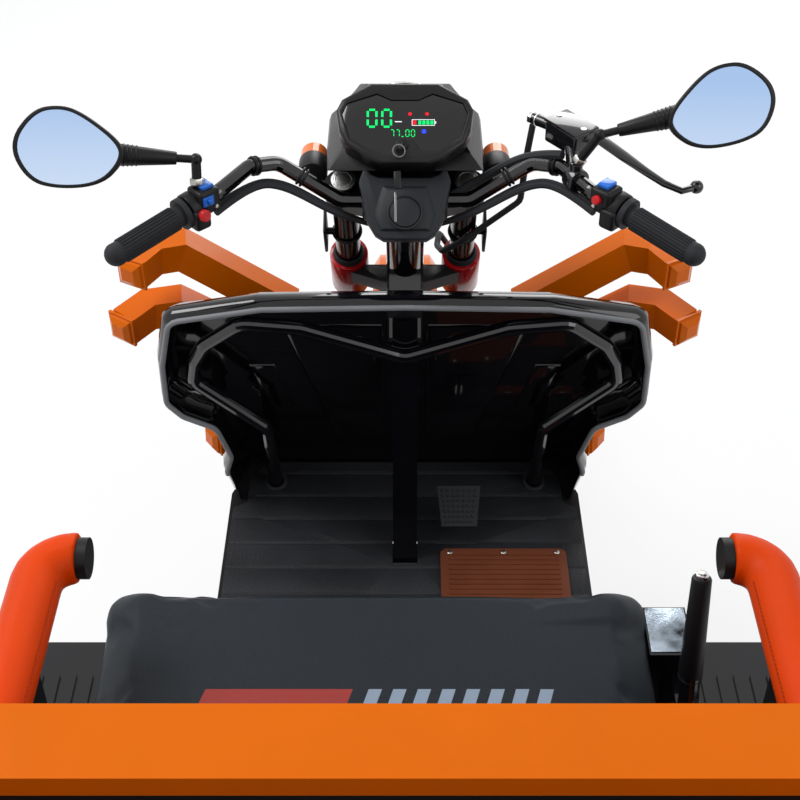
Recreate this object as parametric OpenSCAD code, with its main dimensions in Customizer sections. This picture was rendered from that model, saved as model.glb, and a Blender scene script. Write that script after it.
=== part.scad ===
// Electric cargo tricycle: one steered front wheel, an open cockpit and a drop-side cargo bed.
// Front is +Y, right is +X, up is +Z. Inside the modules, Y is the station: the distance in
// front of the cargo bed's front face. The last lines shift every piece so that the origin
// is on the ground under the middle of the vehicle.

/* [Wheels] */
// Radius of all three tyres
tyre_r = 255; // [235:1:265]
// Width of a tyre
tyre_w = 100; // [85:1:110]
// Station of the rear axle
rear_axle_s = -800; // [-900:1:-700]
// Radius of the seat that a tyre's bead sits on
bead_r = 158; // [150:1:165]

/* [Steering] */
// Station of the top of the steering head
head_s = 925; // [915:1:935]
// Height of the top of the steering head
head_z = 985; // [975:1:995]
// Angle of the steering axis from upright
rake = 27; // [25:1:29]
// Half the distance between the fork legs
fork_half = 92; // [88:1:98]
// How far the fork tubes stand in front of the steering axis
yoke_offset = 35; // [30:1:40]
// Diameter of the fork tubes
fork_tube_d = 40; // [34:1:42]
// Diameter of the red sleeves on the fork
sleeve_d = 62; // [56:1:64]
// Diameter of the fork's lower legs
leg_d = 50; // [44:1:52]
// Diameter of the handlebar tube
bar_d = 22; // [20:1:25]
// Outer diameter of the handlebar grips
grip_d = 38; // [34:1:42]

/* [Cockpit] */
// Height of the floor plate's top
floor_z = 370; // [360:1:380]
// Width of the floor plate
floor_w = 620; // [580:2:640]
// Thickness of the rubber floor mat
mat_t = 4; // [3:0.5:6]
// Wall of the leg shield
shield_t = 4; // [3:0.5:6]
// Diameter of the knee bar's tube
knee_bar_d = 24; // [20:1:26]
// Width of the square spine tube
spine_w = 40; // [36:1:46]
// Height of the front guard's square tube
guard_w = 54; // [45:1:60]
// Depth of the front guard's tube along the vehicle
guard_depth = 44; // [40:1:46]

/* [Seat] */
// Height of the seat box's top
seat_box_z = 690; // [680:1:700]
// Station of the seat box's front
seat_box_s = 336; // [330:1:345]
// Width of the seat box
seat_box_w = 960; // [900:10:1000]
// Thickness of the seat cushion
cushion_t = 90; // [70:1:100]
// Width of the seat cushion
cushion_w = 660; // [600:5:680]
// Distance of the seat cushion's middle to the right of the vehicle's middle
cushion_x = -36; // [-40:1:0]
// Height of the armrests' middle
arm_z = 930; // [915:1:940]
// Width of an armrest's padding
arm_w = 64; // [50:1:70]
// Half the distance between the armrests' middle lines
arm_x = 414; // [400:1:425]

/* [Cargo bed] */
// Length of the cargo bed
bed_l = 1600; // [1400:10:1800]
// Width of the cargo bed over its rails
bed_w = 1100; // [1080:10:1200]
// Height of the bed's floor
bed_floor_z = 650; // [640:1:665]
// Height of the top of the bed's rails
rail_top = 1000; // [960:5:1020]
// Width of the front rail
front_rail_w = 85; // [70:1:95]
// Width of the side rails
side_rail_w = 50; // [40:1:60]
// Height of the rails' section
rail_h = 27; // [22:1:32]
// Width of the bed's upright posts
post_w = 30; // [26:1:36]
// Number of panels along a side
side_panels = 4; // [3:1:5]

/* [Frame] */
// Height of the frame rails' section
frame_h = 60; // [50:1:70]
// Width of the frame rails' section
frame_w = 40; // [36:1:50]
// Half the distance between the frame rails' middle lines
frame_x = 240; // [225:1:255]
// Height of the rear frame's middle line
frame_rear_z = 470; // [460:1:480]

/* [Hidden] */
$fn = 48;
eps = 0.01;
fit = 0.3;
run_gap = 5;

// Fork: distances down the steering axis from the top of the head, and forwards from it.
axle_offset = 60;
fork_l = (head_z + sin(rake) * axle_offset - tyre_r) / cos(rake);
front_axle_s = head_s + sin(rake) * fork_l + cos(rake) * axle_offset;
fork_top = 15;
upper_yoke_t = 25;
lower_yoke = [215, 249];
sleeve_l = 140;
ring_l = 14;
axle_r = 8;
pin_gap = 0.1;
stem_r = 16;
head_tube = [30, 210];
head_tube_r = 30;

// Distance between the rear tyres' middle planes, which stand inside the bed's width.
rear_track = bed_w - 200;

// Ends of the vehicle, from which the origin's station follows.
front_reach = front_axle_s + tyre_r;
rear_reach = -bed_l;
mid_s = (front_reach + rear_reach) / 2;

orange = [0.88, 0.38, 0.02];
black = [0.08, 0.08, 0.09];
charcoal = [0.2, 0.21, 0.24];
steel = [0.62, 0.63, 0.65];
chrome = [0.85, 0.86, 0.88];
rubber = [0.12, 0.12, 0.12];

// Small tools that the pieces share.
function unit(v) = v / norm(v);
function flip(p) = [-p[0], p[1], p[2]];
function side_of(z) = unit(abs(z[2]) > 0.95 ? cross([0, 1, 0], z) : cross([0, 0, 1], z));
function round_ring(p, u, r, n) =
    let (x = side_of(u), y = cross(u, x))
    [for (k = [0 : n - 1]) p + r * (cos(360 * k / n) * x + sin(360 * k / n) * y)];
function box_ring(p, x, y, w, h) =
    [for (k = [[-1, -1], [1, -1], [1, 1], [-1, 1]]) p + x * (k[0] * w / 2) + y * (k[1] * h / 2)];
function slide(ring, p, u, n) = [for (q = ring) q + u * (((p - q) * n) / (u * n))];
function swept_rings(path, ring, i = 1) =
    i == len(path) ? [] :
    let (
        u = unit(path[i] - path[i - 1]),
        v = i < len(path) - 1 ? unit(path[i + 1] - path[i]) : u,
        next = slide(ring, path[i], u, unit(u + v))
    )
    concat([next], swept_rings(path, next, i + 1));
function bend(a, p, b, r, steps) =
    let (
        u = unit(p - a),
        v = unit(b - p),
        turn = acos(u * v),
        start = p - u * r * tan(turn / 2),
        centre = p + unit(v - u) * r / cos(turn / 2)
    )
    [for (k = [0 : steps]) let (a = turn * k / steps) centre + (start - centre) * cos(a) + u * r * sin(a)];
function rounded(path, r, steps) = [
    path[0],
    for (i = [1 : len(path) - 2]) each bend(path[i - 1], path[i], path[i + 1], r, steps),
    path[len(path) - 1],
];
module loft(rings, cap = []) {
    n = len(rings[0]);
    last = (len(rings) - 1) * n;
    faces = len(cap) > 0 ? cap : [[for (j = [0 : n - 1]) j]];
    side = [
        for (i = [0 : len(rings) - 2]) for (j = [0 : n - 1])
        let (a = i * n + j, b = i * n + (j + 1) % n) each [[a, a + n, b], [b, a + n, b + n]]
    ];
    polyhedron(
        [for (r = rings) each r],
        concat(faces, side, [for (f = faces) [for (j = [len(f) - 1 : -1 : 0]) last + f[j]]])
    );
}
module sweep(path, ring) loft(concat([ring], swept_rings(path, ring)));
module tube(path, r, n = 16) sweep(path, round_ring(path[0], unit(path[1] - path[0]), r, n));
module rod(a, b, r) {
    z = unit(b - a);
    x = side_of(z);
    y = cross(z, x);
    multmatrix([[x[0], y[0], z[0], a[0]], [x[1], y[1], z[1], a[1]], [x[2], y[2], z[2], a[2]], [0, 0, 0, 1]])
        cylinder(r = r, h = norm(b - a));
}
module both() {
    children();
    mirror([1, 0, 0]) children();
}
module block(low, high) translate(low) cube(high - low);
module across(w, x = 0) translate([x - w / 2, 0, 0]) rotate([90, 0, 90]) linear_extrude(w) children();
module turned(x = 0) translate([x, 0, 0]) rotate([0, 90, 0]) rotate_extrude() children();
module at_head() translate([0, head_s, head_z]) rotate([rake, 0, 0]) children();
module at_front_axle() translate([0, front_axle_s, tyre_r]) children();
module at_rear_axle(x) translate([x, rear_axle_s, tyre_r]) children();
module slab(w, d, r) {
    translate([-w / 2 + r, -d / 2]) square([w - 2 * r, d]);
    translate([-w / 2, -d / 2 + r]) square([w, d - 2 * r]);
    for (x = [-1, 1], y = [-1, 1]) translate([x * (w / 2 - r), y * (d / 2 - r)]) circle(r);
}

// Frame: two rails that drop from under the bed to the floor, cross members and the spine.
floor_t = 5;
frame_front_z = floor_z - floor_t - frame_h / 2;
frame_drop = [150, 330];
frame_front = 1010;
rail_line = [
    [-bed_l + 100, frame_rear_z], [frame_drop[0], frame_rear_z],
    [frame_drop[1], frame_front_z], [frame_front, frame_front_z],
];
module frame_rails() color(black) both() across(frame_w, frame_x) polygon(concat(
    [for (p = rail_line) p + [0, frame_h / 2]],
    [for (i = [3 : -1 : 0]) rail_line[i] - [0, frame_h / 2]]
));

cross_w = 50;
cross_rear = [-bed_l + 130, -1150, -450, 60];
cross_front = [480, 802, frame_front - cross_w / 2];
seat_post_s = [50, 290];
seat_post_w = 30;
function rail_top_z(s) =
    frame_rear_z + frame_h / 2
    - (frame_rear_z - frame_front_z) * max(0, min(1, (s - frame_drop[0]) / (frame_drop[1] - frame_drop[0])));
module cross_members() color(black) {
    inner = frame_x - frame_w / 2;
    for (s = cross_rear) block([-inner, s - cross_w / 2, frame_rear_z - 20], [inner, s + cross_w / 2, frame_rear_z + 20]);
    for (s = cross_front) block([-inner, s - cross_w / 2, frame_front_z - 20], [inner, s + cross_w / 2, frame_front_z + 30]);
    both() for (s = seat_post_s) across(seat_post_w, frame_x) polygon([
        [s - seat_post_w / 2, rail_top_z(s - seat_post_w / 2)], [s + seat_post_w / 2, rail_top_z(s + seat_post_w / 2)],
        [s + seat_post_w / 2, seat_box_z - box_t], [s - seat_post_w / 2, seat_box_z - box_t],
    ]);
    // Outriggers carry the floor's edges and the seat box's sides.
    both() for (s = [500, 760]) block([frame_x + frame_w / 2, s - 15, floor_z - floor_t - 30], [floor_w / 2 - 10, s + 15, floor_z - floor_t]);
    both() block([frame_x + frame_w / 2, 35, frame_rear_z - 20], [seat_box_w / 2 - 3, 65, frame_rear_z + 10]);
    // Cheeks under the floor for the brake pedal's pivot.
    for (x = [-1, 1]) translate([pedal_at[0] + x * 14, 0, 0]) {
        block([-2, pedal_pivot[0] - 14, pedal_pivot[1] - 14], [2, pedal_pivot[0] + 14, floor_z - floor_t]);
    }
}

// Spine: a square tube that leans forward to the steering head, with the head tube on a stub.
spine_foot = [802, floor_z];
spine_top = [930, 773];
module spine_tube() color(black) {
    dir = unit(spine_top - spine_foot);
    side = [dir[1], -dir[0]] * spine_w / 2;
    foot = [spine_w / 2 / dir[1], 0];
    base = spine_foot - dir * floor_t / dir[1];
    across(spine_w) polygon([base - foot, base + foot, spine_top + side, spine_top - side]);
    difference() {
        union() {
            at_head() translate([0, 0, -head_tube[1]]) cylinder(r = head_tube_r, h = head_tube[1] - head_tube[0]);
            across(spine_w + 10) polygon([[915, 745], [932, 773], [1000, 850], [1010, 800], [960, 750]]);
        }
        at_head() translate([0, 0, -head_tube[1] - 50]) cylinder(r = stem_r + pin_gap, h = 300);
    }
}

// Floor: a flat plate with a stitched rubber mat that ends inside the leg shield.
floor_front = 1036;
plate_corner = 60;
mat_inset = 280;
mat_front = 1024;
mat_edge = 905;
function corner_arc(x, y, r, from) = [for (a = [0 : 15 : 90]) [x + r * cos(from + a), y + r * sin(from + a)]];
module floor_holes() {
    block([-spine_w / 2 - 1, spine_foot[0] - 30, 0], [spine_w / 2 + 1, spine_foot[0] + 30, 600]);
    block([pedal_at[0] - 8, pedal_pivot[0] - 26, 0], [pedal_at[0] + 8, pedal_pivot[0] + 12, 600]);
}
module floor_plate() color(black) difference() {
    w = floor_w / 2;
    c = plate_corner;
    translate([0, 0, floor_z - floor_t]) linear_extrude(floor_t) polygon(concat(
        [[-w, seat_box_s], [w, seat_box_s], [w, floor_front - c - 30]],
        corner_arc(w - 10 - c, floor_front - c, c, 0), corner_arc(-w + 10 + c, floor_front - c, c, 90),
        [[-w, floor_front - c - 30]]
    ));
    floor_holes();
}
module floor_mat() color(charcoal) difference() {
    w = floor_w / 2 - 6;
    c = plate_corner;
    translate([0, 0, floor_z]) linear_extrude(mat_t) polygon(concat(
        [[-w, seat_box_s + 1], [w, seat_box_s + 1], [w, mat_edge], [mat_inset, mat_edge + 16]],
        corner_arc(mat_inset - c, mat_front - c, c, 0), corner_arc(-mat_inset + c, mat_front - c, c, 90),
        [[-mat_inset, mat_edge + 16], [-w, mat_edge]]
    ));
    floor_holes();
    both() translate([knee_line[0][0], knee_s(floor_z), 0]) cylinder(r = knee_bar_d / 2 + 3, h = 600);
}

heel_size = [214, 130];
heel_at = [167, 737];
heel_t = 5;
module heel_plate() color([0.45, 0.2, 0.12]) {
    translate([heel_at[0], heel_at[1], floor_z + mat_t]) {
        linear_extrude(heel_t) slab(heel_size[0], heel_size[1], 12);
        for (k = [-4 : 5]) translate([-heel_size[0] / 2 + 14, k * 11 - 6, heel_t]) cube([heel_size[0] - 28, 4, 1.5]);
    }
}

// Leg shield: a moulded tub, open towards the rider. Its outline is half of the rim, from the
// top middle down to the floor, and each row of the table is one ring from the rim forwards:
// how deep it lies, how much it grows sideways and how much it rises.
shield_half = [
    [0, 858], [220, 853], [364, 824], [386, 720], [391, 628],
    [368, 596], [316, 566], [297, 492], [309, 452], [290, 360], [282, 320],
];
shield_rings = [[0, 0, 0], [0.12, 8, 8], [0.4, 12, 10], [0.75, 4, 2], [0.93, -12, -14], [1, -34, -34]];
shield_mid_z = 600;
function rim_s(z) = 861 + (858 - z) * 0.145;
function wall_s(z) = 915 + (850 - z) * 0.247;
function shield_edge() =
    let (
        half = rounded([for (p = shield_half) [p[0], p[1], 0]], 26, 3),
        right = [for (p = half) [p[0], p[1]]]
    )
    concat(right, [for (i = [len(right) - 1 : -1 : 1]) [-right[i][0], right[i][1]]]);
function shield_ring(row, inset) = [
    for (p = shield_edge())
    let (
        reach = (abs(p[0]) + row[1] - inset) / max(1, abs(p[0])),
        x = abs(p[0]) < 1 ? 0 : p[0] * reach,
        rise = (p[1] > shield_mid_z ? 1 : 0) * (p[1] - shield_mid_z) / (858 - shield_mid_z),
        z = p[1] + (row[2] - inset) * rise + (p[1] < 325 ? inset : 0),
        depth = row[0]
    )
    [x, rim_s(z) + depth * (wall_s(z) - rim_s(z) - inset), z]
];
// The front wall is closed by strips between the right and the left half of a ring.
function shield_cap() =
    let (n = len(shield_edge()), half = (n - 1) / 2)
    concat([[0, 1, n - 1]], [for (i = [1 : half - 1]) each [[i, i + 1, n - i], [i + 1, n - 1 - i, n - i]]]);
module leg_shield() color(black) difference() {
    loft(concat(
        [for (k = [len(shield_rings) - 1 : -1 : 0]) shield_ring(shield_rings[k], shield_t)],
        [for (row = shield_rings) shield_ring(row, 0)]
    ), shield_cap());
    block([-500, 800, 200], [500, 1200, floor_z]);
    // The spine's stub goes through here to the head tube.
    block([-spine_w / 2 - 10, 880, 715], [spine_w / 2 + 10, 1000, 815]);
}

// Trim bead round the shield's open edge.
rim_d = 9;
module shield_rim() color([0.72, 0.73, 0.74]) {
    edge = shield_edge();
    half = [for (i = [0 : len(edge) - 1]) if (edge[i][0] >= 0 && edge[i][1] > floor_z + 4) edge[i]];
    right = [for (p = half) [p[0], rim_s(p[1]) - rim_d / 2 - fit, p[1]]];
    tube(concat([for (i = [len(right) - 1 : -1 : 1]) flip(right[i])], right), rim_d / 2, 8);
}

// Knee bar: one bent tube behind the shield, from mat to mat, that crosses the spine.
knee_line = [[232, 373.3], [235, 540], [345, 672], [335, 722], [314, 762], [254, 813], [162, 802], [0, 731]];
function knee_s(z) = 971 - 0.247 * (z - 375);
module knee_bar() color(black) {
    half = [for (p = knee_line) [p[0], knee_s(p[1]), p[1]]];
    path = concat(half, [for (i = [6 : -1 : 0]) flip(half[i])]);
    tube(rounded(path, 30, 3), knee_bar_d / 2, 14);
}

// Front guard: on each side a post, two long wings that sweep out and back, and a short one.
guard_s = 1058;
guard_x = 215;
guard_upper = [[195, guard_s, 701], [367, guard_s, 818], [410, 1042, 820], [437, 992, 820]];
guard_lower = [[195, guard_s, 588], [385, guard_s, 705], [432, 1042, 708], [466, 992, 708]];
guard_short = [[195, guard_s, 434], [275, guard_s, 445], [338, 1012, 449]];
module guard_wing(path) {
    u = unit(path[1] - path[0]);
    y = cross(u, [0, 1, 0]);
    sweep(path, box_ring(path[0], [0, 1, 0], y, guard_depth, guard_w));
}
module front_guard() color(orange) {
    both() union() {
        block([guard_x - guard_w / 2, guard_s - guard_depth / 2, frame_front_z - frame_h / 2], [guard_x + guard_w / 2, guard_s + guard_depth / 2, 720]);
        guard_wing(guard_upper);
        guard_wing(guard_lower);
        guard_wing(guard_short);
    }
    // Lower beam that ties both sides to the frame.
    inner = guard_x - guard_w / 2 + eps;
    block([-inner, guard_s - guard_depth / 2, frame_front_z - 20], [inner, guard_s, frame_front_z + 20]);
    both() block([guard_x - 20, frame_front, frame_front_z - 20], [guard_x + 20, guard_s, frame_front_z + 20]);
}

// Plastic plugs with a bevelled cap close the guard's open tube ends.
module guard_plug(path) {
    n = len(path) - 1;
    u = unit(path[n] - path[n - 1]);
    x = unit(cross([0, 0, 1], u));
    z = cross(u, x);
    w = guard_w;
    end = path[n];
    loft([
        box_ring(end + u * 0.2, x, z, w - 2, w - 2),
        box_ring(end + u * 5, x, z, w - 2, w - 2),
        box_ring(end + u * 5.1, x, z, w - 10, w - 10),
        box_ring(end + u * 9, x, z, w - 12, w - 12),
        box_ring(end + u * 15, x, z, w - 30, w - 30),
    ]);
}
module guard_plugs() color(orange) both() for (path = [guard_upper, guard_lower, guard_short]) guard_plug(path);

// Foot brake: a treaded pad on an arm that comes up through the floor.
pedal_at = [92, 851, 430];
pedal_pivot = [893, 348];
pad_tilt = 35;
module brake_pedal() color(rubber) {
    translate(pedal_at) rotate([pad_tilt, 0, 0]) linear_extrude(9) polygon([[-30, -35], [30, -35], [37, 35], [-37, 35]]);
    across(10, pedal_at[0]) polygon([
        pedal_pivot + [-8, -6], pedal_pivot + [8, 0],
        [pedal_at[1] + 20, pedal_at[2] + 20 * tan(pad_tilt) + 2],
        [pedal_at[1] + 4, pedal_at[2] + 4 * tan(pad_tilt) + 2],
    ]);
    rod([pedal_at[0] - 12 + fit, pedal_pivot[0], pedal_pivot[1]], [pedal_at[0] + 12 - fit, pedal_pivot[0], pedal_pivot[1]], 9);
}

// Seat box: a sheet shell over the battery, open below, with pressed ribs beside the seat.
box_t = 3;
box_rear = 20;
box_bottom = 400;
module seat_box() color(black) {
    w = seat_box_w / 2;
    difference() {
        block([-w, box_rear, box_bottom], [w, seat_box_s, seat_box_z]);
        block([-w + box_t, box_rear + box_t, 0], [w - box_t, seat_box_s - box_t, seat_box_z - box_t]);
        block([-frame_x - 30, 0, 0], [frame_x + 30, box_rear + 10, frame_rear_z + frame_h / 2 + 10]);
    }
    block([-floor_w / 2, seat_box_s - box_t, floor_z + fit], [floor_w / 2, seat_box_s, box_bottom]);
    both() for (k = [0 : 4]) translate([378 + k * 21, 0, 0]) {
        block([-4, box_rear + 20, seat_box_z - eps], [4, seat_box_s - 56, seat_box_z + 4]);
    }
}
module battery_pack() color([0.25, 0.27, 0.3]) block([-230, 70, frame_rear_z + frame_h / 2], [230, 270, 640]);

// Seat: a crowned cushion on the box, a backrest pad on the bed's front and two armrests.
seat_s = [6, 328];
module seat_cushion() color(charcoal) translate([cushion_x, 0, seat_box_z + fit]) {
    translate([0, (seat_s[0] + seat_s[1]) / 2, 0]) {
        linear_extrude(cushion_t - 20) slab(cushion_w, seat_s[1] - seat_s[0], 30);
        translate([0, 0, cushion_t - 20]) linear_extrude(20, scale = 0.93) slab(cushion_w, seat_s[1] - seat_s[0], 30);
    }
}
module backrest() color(charcoal) across(740) polygon([[-13.7, 800], [52, 800], [50, 830], [30, 945], [12, 955], [-13.7, 955]]);

arm_rear = 6;
arm_front = 284;
arm_inner = 365;
arm_turn = 38;
module armrests() color([0.9, 0.3, 0.05]) both() {
    path = rounded([
        [arm_x, arm_rear, arm_z], [arm_x, arm_front - 26, arm_z], [arm_inner + 8, arm_front - 26, arm_z],
    ], arm_turn, 5);
    tube(path, arm_w / 2 - 2, 16);
}
module armrest_mounts() color(black) both() {
    // End cap that faces inwards.
    rod([arm_inner + 8 - fit, arm_front - 26, arm_z], [arm_inner - 4, arm_front - 26, arm_z], 24);
    // Strut from the seat box up to the padding.
    block([arm_x - 14, 90, seat_box_z + 4.3], [arm_x + 14, 130, arm_z - arm_w / 2 + 2 - fit]);
    block([arm_x - 24, 70, seat_box_z + 4.3], [arm_x + 24, 150, seat_box_z + 12]);
}

// Hand lever of the parking brake, in a small console beside the seat.
brake_x = [300, 354];
brake_s = [257, 339];
brake_top = 760;
module parking_brake() color(black) {
    difference() {
        block([brake_x[0], brake_s[0], seat_box_z], [brake_x[1], brake_s[1] - 5, brake_top]);
        block([cushion_x + cushion_w / 2 - 10, 0, 0], [cushion_x + cushion_w / 2 + 6, 330, 900]);
    }
    hull() {
        translate([342, 205, 720]) sphere(r = 13, $fn = 20);
        translate([346, 262, 890]) sphere(r = 9, $fn = 20);
    }
    block([330, 195, seat_box_z], [354, 262, 722]);
}

// Cargo bed: channel bearers, a ribbed floor, pressed panels in a frame of posts and rails.
bearer_h = 45;
bed_floor_t = 5;
bearer_count = 6;
bed_half = bed_w / 2;
bearer_first = -66;
bearer_last = -bed_l + 70;
function bearer_s(k) = bearer_first + k * (bearer_last - bearer_first) / (bearer_count - 1);
module bed_bearers() color(black) {
    top = bed_floor_z - bed_floor_t;
    both() block([frame_x - 20, -bed_l + 40, frame_rear_z + frame_h / 2], [frame_x + 20, -20, top - bearer_h]);
    for (k = [0 : bearer_count - 1]) {
        s = bearer_s(k);
        block([-bed_half + 40, s - 20, top - bearer_h], [bed_half - 40, s + 20, top]);
    }
}
module bed_floor() color([0.25, 0.25, 0.26]) {
    half = bed_half - side_rail_w;
    block([-half, bearer_last - 20, bed_floor_z - bed_floor_t], [half, -sill_front[1], bed_floor_z]);
    pitch = (half - 80) / 4;
    for (k = [-4 : 4]) block([k * pitch - 12, -bed_l + 60, bed_floor_z - eps], [k * pitch + 12, -70, bed_floor_z + 6]);
}

wall_t = 3;
sill_h = 45;
sill_front = [14, 44];
tail_gap = 32;
panel_pitch = (bed_l - tail_gap - 40 - post_w / 2) / side_panels;
rope_x = bed_half - 8;
pin_r = 6;
// One pressed panel between two posts: a sheet with a raised field.
module panel_field(w, h) {
    edge = post_w + 18;
    translate([-w / 2, -wall_t / 2, 0]) cube([w, wall_t, h]);
    for (k = [0, 1]) translate([-w / 2 + edge, wall_t / 2 - eps, h * (0.14 + 0.42 * k)]) cube([w - 2 * edge, 9, h * 0.3]);
}
module bed_panels() color(orange) {
    z0 = bed_floor_z;
    h = rail_top - rail_h - z0;
    both() for (k = [0 : side_panels - 1]) {
        s = -40 - panel_pitch * (k + 0.5);
        translate([bed_half - 40 - wall_t / 2, s, z0]) rotate([0, 0, -90]) panel_field(panel_pitch, h);
    }
    for (k = [-1, 0, 1]) translate([k * (bed_w - 60) / 3, -30, z0]) panel_field((bed_w - 60) / 3 - post_w, h);
}
module bed_frame() color(orange) {
    z0 = bed_floor_z - bed_floor_t - sill_h;
    low = rail_top - rail_h;
    // Rails on top: a wide one in front and one along each side.
    block([-bed_half, -front_rail_w, low], [bed_half, 0, rail_top]);
    both() block([bed_half - side_rail_w, -bed_l + tail_gap, low], [bed_half, -front_rail_w + eps, rail_top]);
    // Sills at the floor's edge.
    both() block([bed_half - 40, -bed_l + tail_gap, z0], [bed_half - 6, -14, bed_floor_z]);
    inner = bed_half - 40 + eps;
    block([-inner, -sill_front[1], z0], [inner, -sill_front[0], bed_floor_z]);
    block([-inner, -bed_l + tail_gap, z0], [inner, bearer_last - 20, bed_floor_z]);
    // Posts along the sides and in front.
    both() for (k = [0 : side_panels]) {
        s = -40 - k * panel_pitch;
        block([bed_half - 40, s - post_w / 2, bed_floor_z - eps], [bed_half - 10, s + post_w / 2, low + eps]);
    }
    for (x = [-1, 1]) translate([x * (bed_w - 60) / 6, 0, 0]) {
        block([-post_w / 2, -sill_front[1], bed_floor_z - eps], [post_w / 2, -sill_front[0], low + eps]);
    }
    // Rope hooks under the side rails.
    both() for (k = [0 : side_panels - 1]) {
        s = -40 - panel_pitch * (k + 0.5);
        for (y = [-40, 40]) rod([rope_x, s + y, low + 2], [rope_x, s + y, low - 22], 5);
        rod([rope_x, s - 45, low - 22], [rope_x, s + 45, low - 22], 5);
    }
    // Lugs and pins for the tailgate's knuckles.
    for (x = gate_hinges) {
        for (k = [-1, 1]) translate([x + k * 30, 0, 0]) block([-4, hinge_s - 10, hinge_z - 10], [4, -bed_l + tail_gap + eps, hinge_z + 10]);
        rod([x - 34, hinge_s, hinge_z], [x + 34, hinge_s, hinge_z], pin_r);
    }
}

// Tailgate: a framed panel on knuckles at the floor's rear edge.
hinge_s = -bed_l + 14;
hinge_z = bed_floor_z - 28;
gate_t = 26;
gate_hinges = [-360, 0, 360];
module tailgate() color(orange) {
    z0 = bed_floor_z + 2;
    s0 = -bed_l;
    half = bed_half - 4;
    for (z = [[z0, z0 + 34], [rail_top - 32, rail_top - 2]]) block([-half, s0, z[0]], [half, s0 + gate_t, z[1]]);
    for (x = [-1, -1 / 3, 1 / 3, 1]) block([x * (half - 17) - 17, s0, z0], [x * (half - 17) + 17, s0 + gate_t, rail_top - 2]);
    w = 2 * (half - 17) / 3;
    for (k = [-1, 0, 1]) translate([k * w, s0 + 12, z0 + 30]) rotate([0, 0, 180]) panel_field(w - 30, rail_top - 60 - z0);
    for (x = gate_hinges) difference() {
        union() {
            rod([x - 25, hinge_s, hinge_z], [x + 25, hinge_s, hinge_z], 11);
            block([x - 25, s0 + 3, hinge_z], [x + 25, s0 + 12, z0 + 20]);
        }
        rod([x - 30, hinge_s, hinge_z], [x + 30, hinge_s, hinge_z], pin_r + pin_gap);
    }
}

// Rear axle: a live beam with the motor and its gearbox, brake plates at both ends.
hub_in = rear_track / 2 - 75;
beam_r = 36;
shaft_r = 16;
module rear_axle() color([0.3, 0.31, 0.33]) at_rear_axle(0) {
    difference() {
        union() {
            rod([-hub_in, 0, 0], [hub_in, 0, 0], beam_r);
            both() rod([hub_in - 6, 0, 0], [hub_in, 0, 0], 105);
            rod([-60, 0, 0], [70, 0, 0], 95);
            rod([70, 0, 0], [95, 0, 0], 80);
            rod([40, 0, 0], [40, 170, 40], 55);
            rod([-60, 190, 60], [150, 190, 60], 78);
        }
        both() rod([hub_in - 60, 0, 0], [hub_in + 10, 0, 0], shaft_r + pin_gap);
    }
}

leaf_sag = 78;
leaf_half = 350;
leaf_r = (leaf_half * leaf_half + leaf_sag * leaf_sag) / (2 * leaf_sag);
leaf_t = 7;
module leaf_springs() color([0.2, 0.2, 0.21]) {
    seat = tyre_r + beam_r;
    both() translate([frame_x, 0, 0]) {
        for (k = [0 : 3]) across(48) intersection() {
            translate([rear_axle_s, seat + 6 + leaf_r + leaf_t * 3]) difference() {
                circle(r = leaf_r + leaf_t * k, $fn = 200);
                circle(r = leaf_r + leaf_t * (k - 1) + 0.2, $fn = 200);
            }
            translate([rear_axle_s - leaf_half + 75 * k, seat - 30]) square([2 * (leaf_half - 75 * k), 160]);
        }
        // Saddle on the axle, and hangers up to the frame.
        difference() {
            translate([-30, rear_axle_s - 45, seat - 10]) cube([60, 90, 17]);
            rod([-40, rear_axle_s, tyre_r], [40, rear_axle_s, tyre_r], beam_r);
        }
        eye_z = seat + 6 + leaf_t * 2 + leaf_sag;
        for (s = [-1, 1]) across(48) polygon([
            [rear_axle_s + s * (leaf_half - 14), eye_z - 4], [rear_axle_s + s * (leaf_half + 18), eye_z - 4],
            [rear_axle_s + s * (leaf_half + 34), frame_rear_z - frame_h / 2], [rear_axle_s + s * (leaf_half - 30), frame_rear_z - frame_h / 2],
        ]);
    }
}

fender_gap = 45;
fender_half = tyre_w / 2 + 16;
module rear_fenders() color(black) both() at_rear_axle(rear_track / 2) {
    r = tyre_r + fender_gap;
    rotate([0, 90, 0]) rotate([0, 0, -10 + 90]) rotate_extrude(angle = 200) polygon([
        [r, -fender_half + 2], [r + 3, -fender_half], [r + 3, fender_half], [r, fender_half - 2],
    ]);
    top = bed_floor_z - bed_floor_t - bearer_h - tyre_r;
    for (k = [2, 3]) {
        s = bearer_s(k) - rear_axle_s;
        low = sqrt((r + 3) * (r + 3) - s * s) - 8;
        translate([-20, s - 8, low]) cube([40, 16, top - low]);
    }
}
module tail_lamps() color([0.7, 0.05, 0.05]) both() {
    block([bed_half - 150, -bed_l + 40, 540], [bed_half - 50, -bed_l + 66, 600]);
}

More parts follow.
